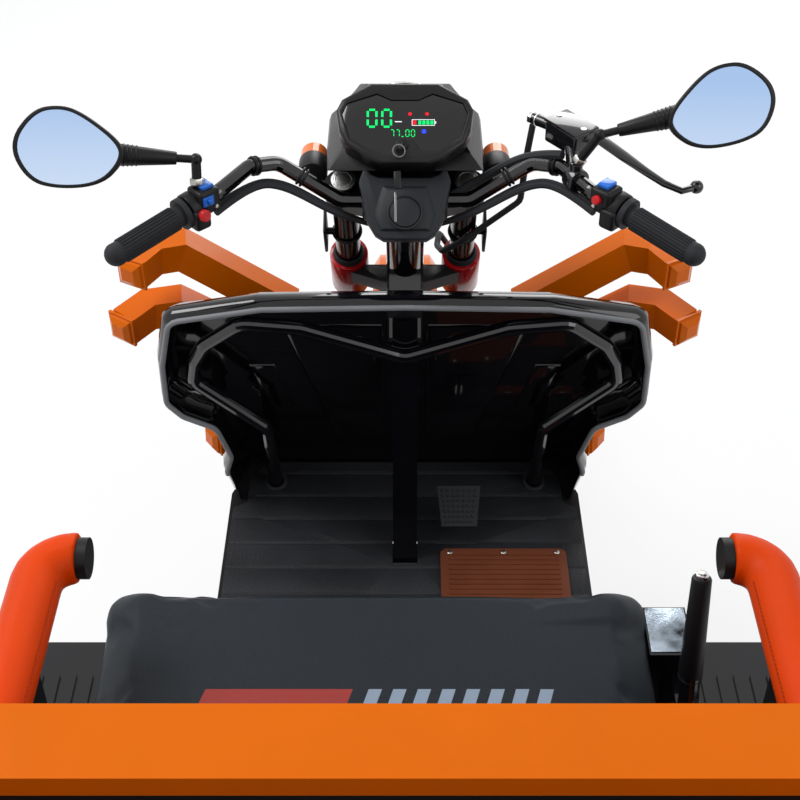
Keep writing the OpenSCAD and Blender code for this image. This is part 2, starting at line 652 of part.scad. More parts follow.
// Fork: two yokes and the stem, chromed tubes, red sleeves and the cast lower legs.
module yoke(low, high) translate([0, 0, -high]) linear_extrude(high - low) difference() {
    union() {
        circle(34);
        for (x = [-1, 1]) translate([x * fork_half, yoke_offset]) circle(r = 30);
        polygon([[-fork_half, yoke_offset - 30], [-30, -16], [30, -16], [fork_half, yoke_offset - 30], [fork_half, yoke_offset + 30], [-fork_half, yoke_offset + 30]]);
    }
    for (x = [-1, 1]) translate([x * fork_half, yoke_offset]) circle(r = fork_tube_d / 2);
}
module fork_yokes() color(black) at_head() {
    yoke(0, upper_yoke_t);
    yoke(lower_yoke[0], lower_yoke[1]);
    translate([0, 0, -lower_yoke[1]]) cylinder(r = stem_r, h = lower_yoke[1]);
    // Clamps that hold the handlebar, and ears that carry the headlamp.
    difference() {
        both() translate([50, bar_clamp[0], -eps]) linear_extrude(clamp_h) slab(26, 40, 6);
        rod([-80, bar_clamp[0], bar_clamp[1]], [80, bar_clamp[0], bar_clamp[1]], bar_d / 2 + pin_gap);
    }
    both() translate([44, yoke_offset + 20, -18]) cube([12, cowl_back - yoke_offset - 20 - fit, 14]);
}
module on_legs() both() at_head() translate([fork_half, yoke_offset, 0]) children();
bar_clamp = [-6, 25.5];
clamp_h = 38;
cowl_back = 90;
sleeve_end = lower_yoke[1] + sleeve_l;
leg_end = fork_l + 10;
module fork_tubes() color(chrome) on_legs() {
    translate([0, 0, -lower_yoke[1]]) cylinder(r = fork_tube_d / 2 - 0.1, h = lower_yoke[1]);
    cylinder(r = 16, h = fork_top, $fn = 6);
}
module fork_sleeves() color([0.7, 0.02, 0.05]) on_legs() {
    translate([0, 0, -sleeve_end]) cylinder(r = sleeve_d / 2, h = sleeve_l - fit);
    translate([0, 0, -sleeve_end - ring_l]) cylinder(r = sleeve_d / 2 - 3, h = ring_l);
}
module fork_legs() color([0.22, 0.22, 0.24]) {
    on_legs() translate([0, 0, -leg_end]) cylinder(r = leg_d / 2, h = leg_end - sleeve_end - ring_l - fit);
    // Lugs at the bottom, with the axle through them and a nut on each end.
    at_front_axle() {
        both() rod([fork_half - 16, 0, 0], [fork_half + 16, 0, 0], 30);
        rod([-fork_half - 30, 0, 0], [fork_half + 30, 0, 0], axle_r);
        both() rod([fork_half + 15, 0, 0], [fork_half + 28, 0, 0], 13);
    }
}

// Handlebar: one bent tube that rises from the clamps, then sweeps back to the grips.
bar_half = [[0, 907.9, 1005], [95, 907.9, 1005], [185, 928, 1056], [224, 905, 1064], [262, 843, 1060], [392, 722, 1034]];
module handlebar() color(chrome) {
    left = [for (i = [5 : -1 : 1]) flip(bar_half[i])];
    tube(rounded(concat(left, [for (i = [1 : 5]) bar_half[i]]), 26, 4), bar_d / 2, 16);
}
bar_u = unit(bar_half[5] - bar_half[4]);
function bar_at(d) = bar_half[5] - bar_u * d;
grip_l = 118;
module grips() color(rubber) both() {
    difference() {
        union() {
            rod(bar_at(grip_l), bar_at(-4), grip_d / 2 - 3);
            rod(bar_at(grip_l), bar_at(grip_l - 8), grip_d / 2 + 4);
            rod(bar_at(0), bar_at(-9), grip_d / 2 - 6);
        }
        rod(bar_at(grip_l + 10), bar_at(0), bar_d / 2 + fit);
    }
}
module clamp_body(d, l, r, up) {
    difference() {
        union() {
            rod(bar_at(d + l), bar_at(d), r);
            translate(bar_at(d + l / 2) + [0, 0, up]) cube([l * 0.8, l * 0.9, r * 1.5], center = true);
        }
        rod(bar_at(d + l + 60), bar_at(d - 60), bar_d / 2 + fit);
    }
}
module switch_pods() color(black) {
    mirror([1, 0, 0]) clamp_body(grip_l + 3, 44, 22, 12);
    clamp_body(grip_l + 3, 40, 22, 12);
}

// Front brake: reservoir and lever on the right bar, a hose down the fork and the caliper.
master_at = [238, 965, 1090];
lever_line = [[262, 958, 1084], [330, 892, 1070], [424, 800, 1042], [433, 770, 1036]];
module brake_master() color(black) {
    translate(master_at) rotate([0, 0, -20]) translate([-33, -21, -17]) cube([66, 42, 34]);
    // The clamp sits on the stretch of the bar in front of the switches.
    along = unit(bar_half[4] - bar_half[3]);
    clamp_at = (bar_half[3] + bar_half[4]) / 2;
    difference() {
        union() {
            rod(clamp_at - along * 11, clamp_at + along * 11, bar_d / 2 + 6);
            rod(clamp_at, master_at - [0, 10, 0], 10);
        }
        rod(bar_half[3], clamp_at + along * 40, bar_d / 2 + fit);
        rod(bar_half[2], bar_half[3], bar_d / 2 + fit);
    }
    rod([210, 976, 1090], [190, 998, 1090], 9);
    tube(rounded(lever_line, 40, 3), 8, 10);
    translate(lever_line[3]) sphere(11, $fn = 24);
}
hose_r = 5;
hose_route = [
    [190, 107.5, 52.5], [184, 83, 19.5], [178, 46.5, -63], [123, 20.3, -94.5], [97, 7.7, -110.5],
    [60, 6, -150], [52, 40, -190], [56, 74, -208], [74, 77, -260], [92, 73, -400],
    [92, 67, -620], [66, 66, -668], [57, 30, -702], [57, 34.9, -718.4],
];
module brake_hose() color(rubber) at_head() tube(rounded(hose_route, 14, 2), hose_r, 8);

disc_x = 52;
slot_w = 14;
disc_r = 105;
caliper_turn = -47;
module brake_caliper() color([0.5, 0.5, 0.52]) at_front_axle() difference() {
    outer = fork_half - leg_d / 2 - 0.5;
    rotate([caliper_turn, 0, 0]) {
        translate([disc_x - 16, -disc_r - 14, -30]) cube([outer - disc_x + 16, 52, 60]);
        rod([disc_x + 5, -disc_r - 12, 12], [disc_x + 5, -disc_r - 28, 12], 8);
    }
    rod([disc_x - slot_w / 2, 0, 0], [disc_x + slot_w / 2, 0, 0], disc_r + 6);
}

// Mirrors: shallow shells on thin stalks.
mirror_w = 148;
mirror_h = 100;
mirror_left = [-455, 805, 1150];
mirror_right = [433, 864, 1180];
module mirror_shell(at, roll) translate(at) rotate([62, 0, 0]) rotate([0, 0, roll]) children();
module mirrors() color(black) {
    for (m = [[mirror_left, 12, [-288, 818, 1083.7]], [mirror_right, 12, [246, 950, 1107.3]]]) {
        mirror_shell(m[0], m[1]) translate([0, 0, -24]) linear_extrude(24 - fit) slab(mirror_w, mirror_h, 40);
        elbow = m[2] + [0, 0, 34];
        rod(m[2], elbow, 7);
        translate(elbow) sphere(7, $fn = 24);
        rod(elbow, m[0] + [0, 14, -4], 5.5);
    }
}
module mirror_glass() color([0.75, 0.82, 0.9]) {
    for (m = [[mirror_left, 12], [mirror_right, 12]]) {
        mirror_shell(m[0], m[1]) linear_extrude(3) slab(mirror_w - 8, mirror_h - 8, 36);
    }
}

// Instruments: a hexagonal case with a glossy screen, on the headlamp's cowl.
dash_low = [0, 892, 1075];
dash_tilt = 36;
dash_size = [195, 128];
module at_dash() translate(dash_low) rotate([dash_tilt, 0, 0]) children();
module dash_outline(inset) {
    w = dash_size[0] / 2 - inset;
    h = dash_size[1];
    polygon([
        [-w * 0.55, inset], [w * 0.55, inset], [w, h * 0.42], [w * 0.72, h - inset],
        [-w * 0.72, h - inset], [-w, h * 0.42],
    ]);
}
module dash_case() color(black) at_dash() {
    translate([0, 0, -dash_depth]) linear_extrude(dash_depth) dash_outline(0);
}
module dash_screen() color([0.02, 0.02, 0.03]) at_dash() translate([0, 0, fit]) linear_extrude(3) dash_outline(8);
dash_depth = 34;
function dash_point(up, depth) = [
    dash_low[1] + up * cos(dash_tilt) + depth * sin(dash_tilt),
    dash_low[2] + up * sin(dash_tilt) - depth * cos(dash_tilt),
];
function head_point(y, z) = [head_s + y * cos(rake) - z * sin(rake), head_z + y * sin(rake) + z * cos(rake)];
cowl_w = 236;
cowl_front = 1090;
module headlamp() color(black) across(cowl_w) polygon([
    dash_point(4, dash_depth + fit), dash_point(dash_size[1], dash_depth + fit),
    [1062, 1114], [cowl_front, 1100], [cowl_front, 982], [1064, 966],
    head_point(cowl_back, -50), head_point(cowl_back, 10), [945, 1046],
]);
lens_r = 56;
module headlamp_lens() color([0.9, 0.92, 0.95]) {
    translate([0, cowl_front + fit, 1041]) rotate([-90, 0, 0]) cylinder(r1 = lens_r, r2 = lens_r - 12, h = 14);
}
signal_at = [cowl_w / 2 + 22, 1000, 1003];
module turn_signals() color([1, 0.55, 0.05]) both() {
    rod([cowl_w / 2, 1034, signal_at[2]], [signal_at[0], 1034, signal_at[2]], 8);
    rod(signal_at - [0, 20, 0], signal_at + [0, 45, 0], 21);
}
cover_tilt = 40;
cover_low = [830, 985];
cover_l = 98;
cover_t = 18;
module bar_cover() color(black) translate([0, cover_low[0], cover_low[1]]) rotate([cover_tilt, 0, 0]) {
    translate([0, 0, -cover_t]) linear_extrude(cover_t) polygon([
        [-40, 0], [40, 0], [67, 62], [67, cover_l], [-67, cover_l], [-67, 62],
    ]);
    translate([0, 68, -1]) cylinder(r = 14, h = 20);
    translate([0, 24, -1]) cylinder(r = 26, h = 5);
}

// Front mudguard over the wheel, on stays from the fork legs.
front_fender_gap = 30;
front_fender_w = 124;
module front_fender() color(orange) at_front_axle() {
    r = tyre_r + front_fender_gap;
    rotate([0, 90, 0]) rotate([0, 0, 125]) rotate_extrude(angle = 155) polygon([
        [r - 18, -front_fender_w / 2], [r - 16, -front_fender_w / 2 - 0.5], [r + 3, -front_fender_w / 2 + 12],
        [r + 3, front_fender_w / 2 - 12], [r - 16, front_fender_w / 2 + 0.5], [r - 18, front_fender_w / 2],
        [r, front_fender_w / 2 - 14], [r, -front_fender_w / 2 + 14],
    ]);
    // A stay on each side reaches to the fork leg.
    both() rotate([rake, 0, 0]) translate([front_fender_w / 2 - 1, yoke_offset - axle_offset - 12, r - 22]) {
        cube([fork_half - leg_d / 2 - fit - front_fender_w / 2 + 1, 24, 24]);
    }
}

// Wheels: tyre and rim are turned about the axle.
tyre_round = tyre_w / 2;
module tyre() turned() difference() {
    union() {
        translate([tyre_r - tyre_round, 0]) circle(r = tyre_round);
        translate([bead_r - 10, -40]) square([tyre_r - tyre_round - bead_r + 10, 80]);
    }
    translate([0, -tyre_w]) square([bead_r + fit, 2 * tyre_w]);
}
module rim_barrel() turned() polygon([
    [bead_r - 7, -46], [bead_r + 14, -46], [bead_r + 14, -42], [bead_r, -41], [bead_r, 41],
    [bead_r + 14, 42], [bead_r + 14, 46], [bead_r - 7, 46],
]);
module front_tyre() color(rubber) at_front_axle() tyre();
module front_rim() color(steel) at_front_axle() difference() {
    union() {
        rim_barrel();
        turned() polygon([[40, 8], [90, 12], [bead_r - 6.9, 4], [bead_r - 6.9, -4], [90, 4], [40, 0]]);
        rod([-66, 0, 0], [66, 0, 0], 42);
        rod([disc_x - 2, 0, 0], [disc_x + 2, 0, 0], disc_r);
    }
    rod([-80, 0, 0], [80, 0, 0], axle_r + pin_gap);
    for (a = [0 : 45 : 315]) rotate([a, 0, 0]) rod([-30, 118, 0], [30, 118, 0], 15);
}
module rear_rim(x) color(steel) at_rear_axle(x) mirror([x > 0 ? 0 : 1, 0, 0]) {
    drum = [hub_in + run_gap - rear_track / 2, -20];
    difference() {
        union() {
            rim_barrel();
            turned() polygon([[0, 6], [90, 14], [bead_r - 6.9, 4], [bead_r - 6.9, -4], [90, 6], [0, -4]]);
            rod([-20, 0, 0], [34, 0, 0], 32);
        }
        for (a = [0 : 45 : 315]) rotate([a, 0, 0]) rod([-30, 122, 0], [30, 122, 0], 14);
    }
    rod([drum[0], 0, 0], [0, 0, 0], 100);
    rod([drum[0] - 50, 0, 0], [0, 0, 0], shaft_r);
}
module rear_tyre_left() color(rubber) at_rear_axle(-rear_track / 2) tyre();
module rear_tyre_right() color(rubber) at_rear_axle(rear_track / 2) tyre();
module rear_rim_left() rear_rim(-rear_track / 2);
module rear_rim_right() rear_rim(rear_track / 2);

translate([0, -mid_s, 0]) {
    frame_rails();
    cross_members();
    spine_tube();
    floor_plate();
    floor_mat();
    heel_plate();
    leg_shield();
    shield_rim();
    knee_bar();
    front_guard();
    guard_plugs();
    brake_pedal();
    seat_box();
    battery_pack();
    seat_cushion();
    backrest();
    armrests();
    armrest_mounts();
    parking_brake();
    bed_bearers();
    bed_floor();
    bed_panels();
    bed_frame();
    rear_fenders();
    rear_axle();
    leaf_springs();
    tail_lamps();
    tailgate();
    fork_yokes();
    fork_tubes();
    fork_sleeves();
    fork_legs();
    handlebar();
    bar_cover();
    grips();
    switch_pods();
    brake_master();
    brake_hose();
    brake_caliper();
    mirrors();
    mirror_glass();
    dash_case();
    dash_screen();
    headlamp();
    headlamp_lens();
    turn_signals();
    front_fender();
    front_tyre();
    front_rim();
    rear_tyre_left();
    rear_rim_left();
    rear_tyre_right();
    rear_rim_right();
}
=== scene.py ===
import math

import bpy
from mathutils import Matrix, Vector


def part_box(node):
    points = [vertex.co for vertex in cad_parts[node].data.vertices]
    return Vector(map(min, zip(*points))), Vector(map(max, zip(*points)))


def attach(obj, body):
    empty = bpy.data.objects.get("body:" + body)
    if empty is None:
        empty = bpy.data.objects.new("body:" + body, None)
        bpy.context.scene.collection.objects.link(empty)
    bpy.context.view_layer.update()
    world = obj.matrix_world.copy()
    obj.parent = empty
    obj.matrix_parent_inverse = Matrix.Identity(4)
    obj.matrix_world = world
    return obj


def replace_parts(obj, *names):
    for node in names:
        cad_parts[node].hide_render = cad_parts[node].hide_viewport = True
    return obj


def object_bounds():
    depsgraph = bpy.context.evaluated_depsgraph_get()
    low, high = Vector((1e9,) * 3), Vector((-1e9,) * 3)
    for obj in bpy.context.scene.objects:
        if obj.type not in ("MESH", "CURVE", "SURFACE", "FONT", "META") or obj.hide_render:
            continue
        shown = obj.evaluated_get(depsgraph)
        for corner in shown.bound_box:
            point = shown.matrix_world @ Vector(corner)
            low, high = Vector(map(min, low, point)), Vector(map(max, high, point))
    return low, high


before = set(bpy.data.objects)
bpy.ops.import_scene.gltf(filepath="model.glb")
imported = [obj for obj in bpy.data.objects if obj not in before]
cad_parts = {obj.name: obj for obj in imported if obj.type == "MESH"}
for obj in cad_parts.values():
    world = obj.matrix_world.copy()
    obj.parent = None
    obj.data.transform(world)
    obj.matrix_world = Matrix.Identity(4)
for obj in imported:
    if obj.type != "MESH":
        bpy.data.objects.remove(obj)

# Camera. It stands over the cargo bed and looks forward and down at the cockpit, past the
# bed's front rail, as in the photograph.
cad_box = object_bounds()
bed_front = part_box("bed_frame")[1].y
camera_height = 2.076
camera_behind_rail = 0.826
camera_pitch = math.radians(40)
photo_focus_px = 1370
photo_width_px = 800
photo_middle_px = 405
bpy.ops.object.camera_add(
    location=(0, bed_front - camera_behind_rail, camera_height),
    rotation=(math.pi / 2 - camera_pitch, 0, 0),
)
camera = bpy.context.object
camera.data.sensor_width = 36
camera.data.lens = 36 * photo_focus_px / photo_width_px
camera.data.shift_x = 0.5 - photo_middle_px / photo_width_px
camera.data.clip_end = 100
bpy.context.scene.camera = camera
bpy.context.scene.view_settings.view_transform = "Standard"

# Floor and sky. The floor is a pale sheet that keeps the shadow, and both look white to the
# camera and in the metal.
def seen_directly(nodes, links):
    """A factor that is 1 for what the camera, a mirror or glass sees, and 0 for the light itself."""
    ray = nodes.new("ShaderNodeLightPath")
    glossy = nodes.new("ShaderNodeMath")
    glossy.operation = "MAXIMUM"
    links.new(ray.outputs["Is Camera Ray"], glossy.inputs[0])
    links.new(ray.outputs["Is Glossy Ray"], glossy.inputs[1])
    through = nodes.new("ShaderNodeMath")
    through.operation = "MAXIMUM"
    links.new(glossy.outputs[0], through.inputs[0])
    links.new(ray.outputs["Is Transmission Ray"], through.inputs[1])
    return through.outputs[0]


floor_half = 30
floor_whiteness = 0.72
bpy.ops.object.select_all(action="DESELECT")
bpy.ops.mesh.primitive_plane_add(size=2 * floor_half, location=(0, 0, cad_box[0].z))
floor = bpy.context.object
floor.name = "floor"
floor_paper = bpy.data.materials.new("floor_paper")
floor_paper.use_nodes = True
nodes, links = floor_paper.node_tree.nodes, floor_paper.node_tree.links
nodes["Principled BSDF"].inputs["Base Color"].default_value = (0.86, 0.86, 0.86, 1)
nodes["Principled BSDF"].inputs["Roughness"].default_value = 0.9
white = nodes.new("ShaderNodeEmission")
white.inputs["Strength"].default_value = 1.0
share = nodes.new("ShaderNodeMath")
share.operation = "MULTIPLY"
share.inputs[1].default_value = floor_whiteness
links.new(seen_directly(nodes, links), share.inputs[0])
mixed = nodes.new("ShaderNodeMixShader")
links.new(share.outputs[0], mixed.inputs["Fac"])
links.new(nodes["Principled BSDF"].outputs[0], mixed.inputs[1])
links.new(white.outputs[0], mixed.inputs[2])
links.new(mixed.outputs[0], nodes["Material Output"].inputs["Surface"])
floor.data.materials.append(floor_paper)

sky = bpy.data.worlds.new("sky")
sky.use_nodes = True
nodes, links = sky.node_tree.nodes, sky.node_tree.links
backdrop = nodes.new("ShaderNodeBackground")
backdrop.inputs["Strength"].default_value = 1.0
glow = nodes["Background"]
glow.inputs["Color"].default_value = (0.93, 0.96, 1.0, 1)
glow.inputs["Strength"].default_value = 0.5
mixed = nodes.new("ShaderNodeMixShader")
links.new(seen_directly(nodes, links), mixed.inputs["Fac"])
links.new(glow.outputs[0], mixed.inputs[1])
links.new(backdrop.outputs[0], mixed.inputs[2])
links.new(mixed.outputs[0], nodes["World Output"].inputs["Surface"])
backdrop.inputs["Color"].default_value = (1, 1, 1, 1)
bpy.context.scene.world = sky

lamp_target = Vector((0, 0.2, 0.7))
for name, place, size, watts in (
    ("key_light", (-2.6, 1.2, 4.2), 2.0, 130),
    ("fill_light", (3.4, -1.5, 3.6), 2.6, 60),
    ("front_light", (0.6, 4.6, 2.6), 2.2, 70),
):
    bpy.ops.object.light_add(type="AREA", location=place)
    lamp = bpy.context.object
    lamp.name = name
    lamp.data.size = size
    lamp.data.energy = watts
    lamp.rotation_euler = (lamp_target - Vector(place)).to_track_quat("-Z", "Y").to_euler()

# Frame. Box rails, cross members and the spine tube are welded and stove-enamelled black, the
# hidden ones in satin and the spine in gloss.
def enamel(
    name, colour, roughness, metallic=0.0, coat=0.0, shine=0.2,
    cloud=0.08, cloud_size=9.0, grain=0.02, grain_size=700.0,
):
    """A finish whose colour clouds a little, whose gloss is uneven and whose skin has a fine grain."""
    material = bpy.data.materials.new(name)
    material.use_nodes = True
    nodes, links = material.node_tree.nodes, material.node_tree.links
    shader = nodes["Principled BSDF"]
    shader.inputs["Metallic"].default_value = metallic
    shader.inputs["Coat Weight"].default_value = coat
    shader.inputs["Coat Roughness"].default_value = 0.04
    shader.inputs["Specular IOR Level"].default_value = shine
    place = nodes.new("ShaderNodeTexCoord")
    clouds = nodes.new("ShaderNodeTexNoise")
    clouds.name = "clouds"
    clouds.inputs["Scale"].default_value = cloud_size
    clouds.inputs["Detail"].default_value = 6
    tint = nodes.new("ShaderNodeValToRGB")
    tint.name = "tint"
    tint.color_ramp.elements[0].position = 0.3
    tint.color_ramp.elements[1].position = 0.7
    for end, share in ((0, 1 - cloud), (1, 1 + cloud)):
        tint.color_ramp.elements[end].color = [min(1.0, c * share) for c in colour] + [1]
    gloss = nodes.new("ShaderNodeMapRange")
    gloss.name = "gloss"
    gloss.inputs["To Min"].default_value = roughness * 0.8
    gloss.inputs["To Max"].default_value = min(1.0, roughness * 1.25)
    skin = nodes.new("ShaderNodeTexNoise")
    skin.name = "skin"
    skin.inputs["Scale"].default_value = grain_size
    skin.inputs["Detail"].default_value = 3
    bump = nodes.new("ShaderNodeBump")
    bump.name = "bump"
    bump.inputs["Strength"].default_value = grain
    bump.inputs["Distance"].default_value = 0.001
    links.new(place.outputs["Object"], clouds.inputs["Vector"])
    links.new(place.outputs["Object"], skin.inputs["Vector"])
    links.new(clouds.outputs["Fac"], tint.inputs["Fac"])
    links.new(clouds.outputs["Fac"], gloss.inputs["Value"])
    links.new(tint.outputs["Color"], shader.inputs["Base Color"])
    links.new(gloss.outputs["Result"], shader.inputs["Roughness"])
    links.new(skin.outputs["Fac"], bump.inputs["Height"])
    links.new(bump.outputs["Normal"], shader.inputs["Normal"])
    return material


def wear(material, *names):
    """Gives CAD nodes their finish."""
    for name in names:
        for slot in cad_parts[name].material_slots:
            slot.material = material


satin_black = enamel("satin_black", (0.01, 0.01, 0.011), 0.38, grain=0.05)
gloss_black = enamel("gloss_black", (0.004, 0.004, 0.006), 0.1, coat=0.6, shine=0.35)
wear(satin_black, "frame_rails", "cross_members")
wear(gloss_black, "spine_tube")

# Floor. The steel plate carries a mat of grained leathercloth, quilted by cross seams and bound
# with a piped edge. A ribbed rubber heel plate is riveted on the right.
def at(x, station, z):
    """A place in metres whose station counts forwards from the cargo bed's front face."""
    return Vector((x, bed_front + station, z))


def copy_of(node, name):
    """A merged copy of a CAD node, to be worked into a finer piece."""
    piece = bpy.data.objects.new(name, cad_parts[node].data.copy())
    bpy.context.scene.collection.objects.link(piece)
    bpy.ops.object.select_all(action="DESELECT")
    piece.select_set(True)
    bpy.context.view_layer.objects.active = piece
    bpy.ops.object.mode_set(mode="EDIT")
    bpy.ops.mesh.select_all(action="SELECT")
    bpy.ops.mesh.remove_doubles(threshold=0.00002)
    bpy.ops.object.mode_set(mode="OBJECT")
    return piece


def cut_across(piece, station, normal=(0, 1, 0)):
    """Adds a loop of edges where a plane meets the piece."""
    bpy.context.view_layer.objects.active = piece
    bpy.ops.object.mode_set(mode="EDIT")
    bpy.ops.mesh.select_all(action="SELECT")
    bpy.ops.mesh.bisect(plane_co=station, plane_no=normal)
    bpy.ops.object.mode_set(mode="OBJECT")


def rounded(piece, edge, steps=2):
    """Rounds the sharp edges of a piece."""
    bpy.context.view_layer.objects.active = piece
    bevel = piece.modifiers.new("edge", "BEVEL")
    bevel.width = edge
    bevel.segments = steps
    bevel.limit_method = "ANGLE"
    bevel.angle_limit = math.radians(35)
    bevel.harden_normals = False
    bpy.ops.object.modifier_apply(modifier="edge")
    return piece


def rod(start, end, radius, edge=0.0, sides=24, end_radius=None):
    """A round bar between two points, tapered where it has an end radius."""
    bpy.ops.object.select_all(action="DESELECT")
    along = Vector(end) - Vector(start)
    bpy.ops.mesh.primitive_cone_add(
        vertices=sides, radius1=radius, radius2=radius if end_radius is None else end_radius,
        depth=along.length, location=(Vector(start) + Vector(end)) / 2,
        rotation=along.to_track_quat("Z", "Y").to_euler(),
    )
    piece = bpy.context.object
    if edge:
        rounded(piece, edge)
    return piece


def stitches(start, end, pitch=0.0055, length=0.0038, radius=0.00045):
    """A row of thread stitches between two points, each a small rounded bar."""
    start, end = Vector(start), Vector(end)
    along = (end - start).normalized()
    first = rod(start, start + along * length, radius, sides=6)
    bpy.ops.object.transform_apply(location=True, rotation=True, scale=True)
    row = first.modifiers.new("row", "ARRAY")
    row.use_relative_offset = False
    row.use_constant_offset = True
    row.constant_offset_displace = along * pitch
    row.count = max(1, int((end - start).length / pitch))
    bpy.ops.object.modifier_apply(modifier="row")
    return first


def ball(centre, radius, squash=(1, 1, 1)):
    """A round knob."""
    bpy.ops.object.select_all(action="DESELECT")
    bpy.ops.mesh.primitive_uv_sphere_add(segments=24, ring_count=12, radius=radius, location=centre)
    piece = bpy.context.object
    piece.scale = squash
    return piece


def built(name, parts, body, material, smooth=38):
    """Joins the parts of a piece, puts its place into its mesh and hands it to its body."""
    bpy.ops.object.select_all(action="DESELECT")
    for part in parts:
        part.select_set(True)
    bpy.context.view_layer.objects.active = parts[0]
    if len(parts) > 1:
        bpy.ops.object.join()
    piece = bpy.context.object
    piece.name = name
    bpy.ops.object.transform_apply(location=True, rotation=True, scale=True)
    piece.data.materials.clear()
    piece.data.materials.append(material)
    bpy.ops.object.shade_smooth_by_angle(angle=math.radians(smooth))
    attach(piece, body)
    return piece


wear(satin_black, "floor_plate")
mat_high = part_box("floor_mat")[1]
mat_top = mat_high.z
seam_pitch = 0.058
seam_first = 0.414
seam_stations = [seam_first + seam_pitch * k for k in range(11)]
seam_half = 0.0035
seam_depth = 0.0016
mat = copy_of("floor_mat", "quilted_mat")
for station in seam_stations:
    for off in (-seam_half, 0, seam_half):
        cut_across(mat, at(0, station + off, 0))
for vertex in mat.data.vertices:
    low_line = any(abs(vertex.co.y - at(0, s, 0).y) < 0.0002 for s in seam_stations)
    if low_line and vertex.co.z > mat_top - 0.0005:
        vertex.co.z -= seam_depth
leathercloth = enamel("leathercloth", (0.02, 0.021, 0.024), 0.5, grain=0.9, grain_size=260, cloud=0.2)
mat = built("quilted_mat", [mat], "chassis", leathercloth, smooth=12)
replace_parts(mat, "floor_mat")
thread = enamel("thread_grey", (0.05, 0.05, 0.052), 0.8, grain=0.3)
seam_rows = []
for station in seam_stations:
    reach = mat_high.x - 0.012 if station < 0.88 else mat_high.x - 0.045 - (station - 0.88) * 0.6
    for x0, x1 in ((-reach, -0.024), (0.024, reach)):
        seam_rows.append(stitches(at(x0, station + 0.006, mat_top), at(x1, station + 0.006, mat_top)))
for side in (-1, 1):
    binding_x = side * (mat_high.x - 0.008)
    seam_rows.append(stitches(at(binding_x, 0.345, mat_top), at(binding_x, 0.9, mat_top)))
built("mat_stitches", seam_rows, "chassis", thread)
heel_rubber = enamel("heel_rubber", (0.155, 0.044, 0.02), 0.4, grain=0.25, cloud=0.15)
wear(heel_rubber, "heel_plate")
heel_low, heel_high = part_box("heel_plate")
zinc = enamel("zinc", (0.48, 0.47, 0.43), 0.32, metallic=1.0, grain=0.1)
rivets = []
for x in (heel_low.x + 0.016, (heel_low.x + heel_high.x) / 2, heel_high.x - 0.016):
    rivets.append(ball((x, heel_high.y - 0.009, heel_high.z - 0.0012), 0.0052, (1, 1, 0.45)))
built("heel_rivets", rivets, "chassis", zinc)

# Leg shield. One gloss black moulding, hung on the spine's stub, with a grey rubber bead pressed
# on its edge. The knee bar is a bent tube whose feet stand in rubber collars.
shield_black = enamel("shield_black", (0.0035, 0.0035, 0.005), 0.1, coat=0.5, grain=0.03, grain_size=60)
wear(gloss_black, "knee_bar")
trim_grey = enamel("trim_grey", (0.2, 0.205, 0.215), 0.5, grain=0.15)
rubber_black = enamel("rubber_black", (0.02, 0.021, 0.024), 0.62, grain=0.25, grain_size=900)
shield_top, shield_waist, shield_sag = 0.86, 0.66, 0.011


def sagged(piece):
    """Lowers a shield's top edge a little, as the real moulding's is."""
    for vertex in piece.data.vertices:
        if vertex.co.z > shield_waist:
            vertex.co.z -= shield_sag * (vertex.co.z - shield_waist) / (shield_top - shield_waist)
    return piece


wall_lean = math.atan(0.247)
wall_up = Vector((0, -math.sin(wall_lean), math.cos(wall_lean)))
wall_out = Vector((0, -math.cos(wall_lean), -math.sin(wall_lean)))


def on_wall(x, up, out=0.0):
    """A place on the shield's inner wall, counted up from its middle."""
    return at(x, 0.97275, 0.6) + wall_up * up + wall_out * out


def moulded(rings):
    """A closed moulding whose skin runs through rings that have the same number of points."""
    bpy.ops.object.select_all(action="DESELECT")
    bpy.ops.mesh.primitive_circle_add(vertices=len(rings[0]), fill_type="NGON", location=(0, 0, 0))
    piece = bpy.context.object
    before = [Vector(place) for place in rings[0]]
    for vertex, place in zip(piece.data.vertices, before):
        vertex.co = place
    for ring in rings[1:]:
        bpy.ops.object.mode_set(mode="EDIT")
        bpy.ops.mesh.extrude_region()
        bpy.ops.object.mode_set(mode="OBJECT")
        for vertex in piece.data.vertices:
            if vertex.select:
                nearest = min(range(len(before)), key=lambda k: (before[k] - vertex.co).length)
                vertex.co = ring[nearest]
        before = [Vector(place) for place in ring]
    bpy.ops.object.mode_set(mode="EDIT")
    bpy.ops.mesh.select_all(action="SELECT")
    bpy.ops.mesh.normals_make_consistent(inside=False)
    bpy.ops.object.mode_set(mode="OBJECT")
    return piece


def block(centre, size, edge=0.002, turn=(0, 0, 0), steps=2):
    """A box with rounded edges."""
    bpy.ops.object.select_all(action="DESELECT")
    bpy.ops.mesh.primitive_cube_add(size=1, location=centre, rotation=turn)
    piece = bpy.context.object
    piece.scale = size
    bpy.ops.object.transform_apply(location=False, rotation=False, scale=True)
    return rounded(piece, edge, steps)


def hoop(centre, axis, big, small, sides=48, section=10):
    """A ring round an axis."""
    bpy.ops.object.select_all(action="DESELECT")
    bpy.ops.mesh.primitive_torus_add(
        major_radius=big, minor_radius=small, major_segments=sides, minor_segments=section,
        location=centre, rotation=Vector(axis).to_track_quat("Z", "Y").to_euler(),
    )
    return bpy.context.object


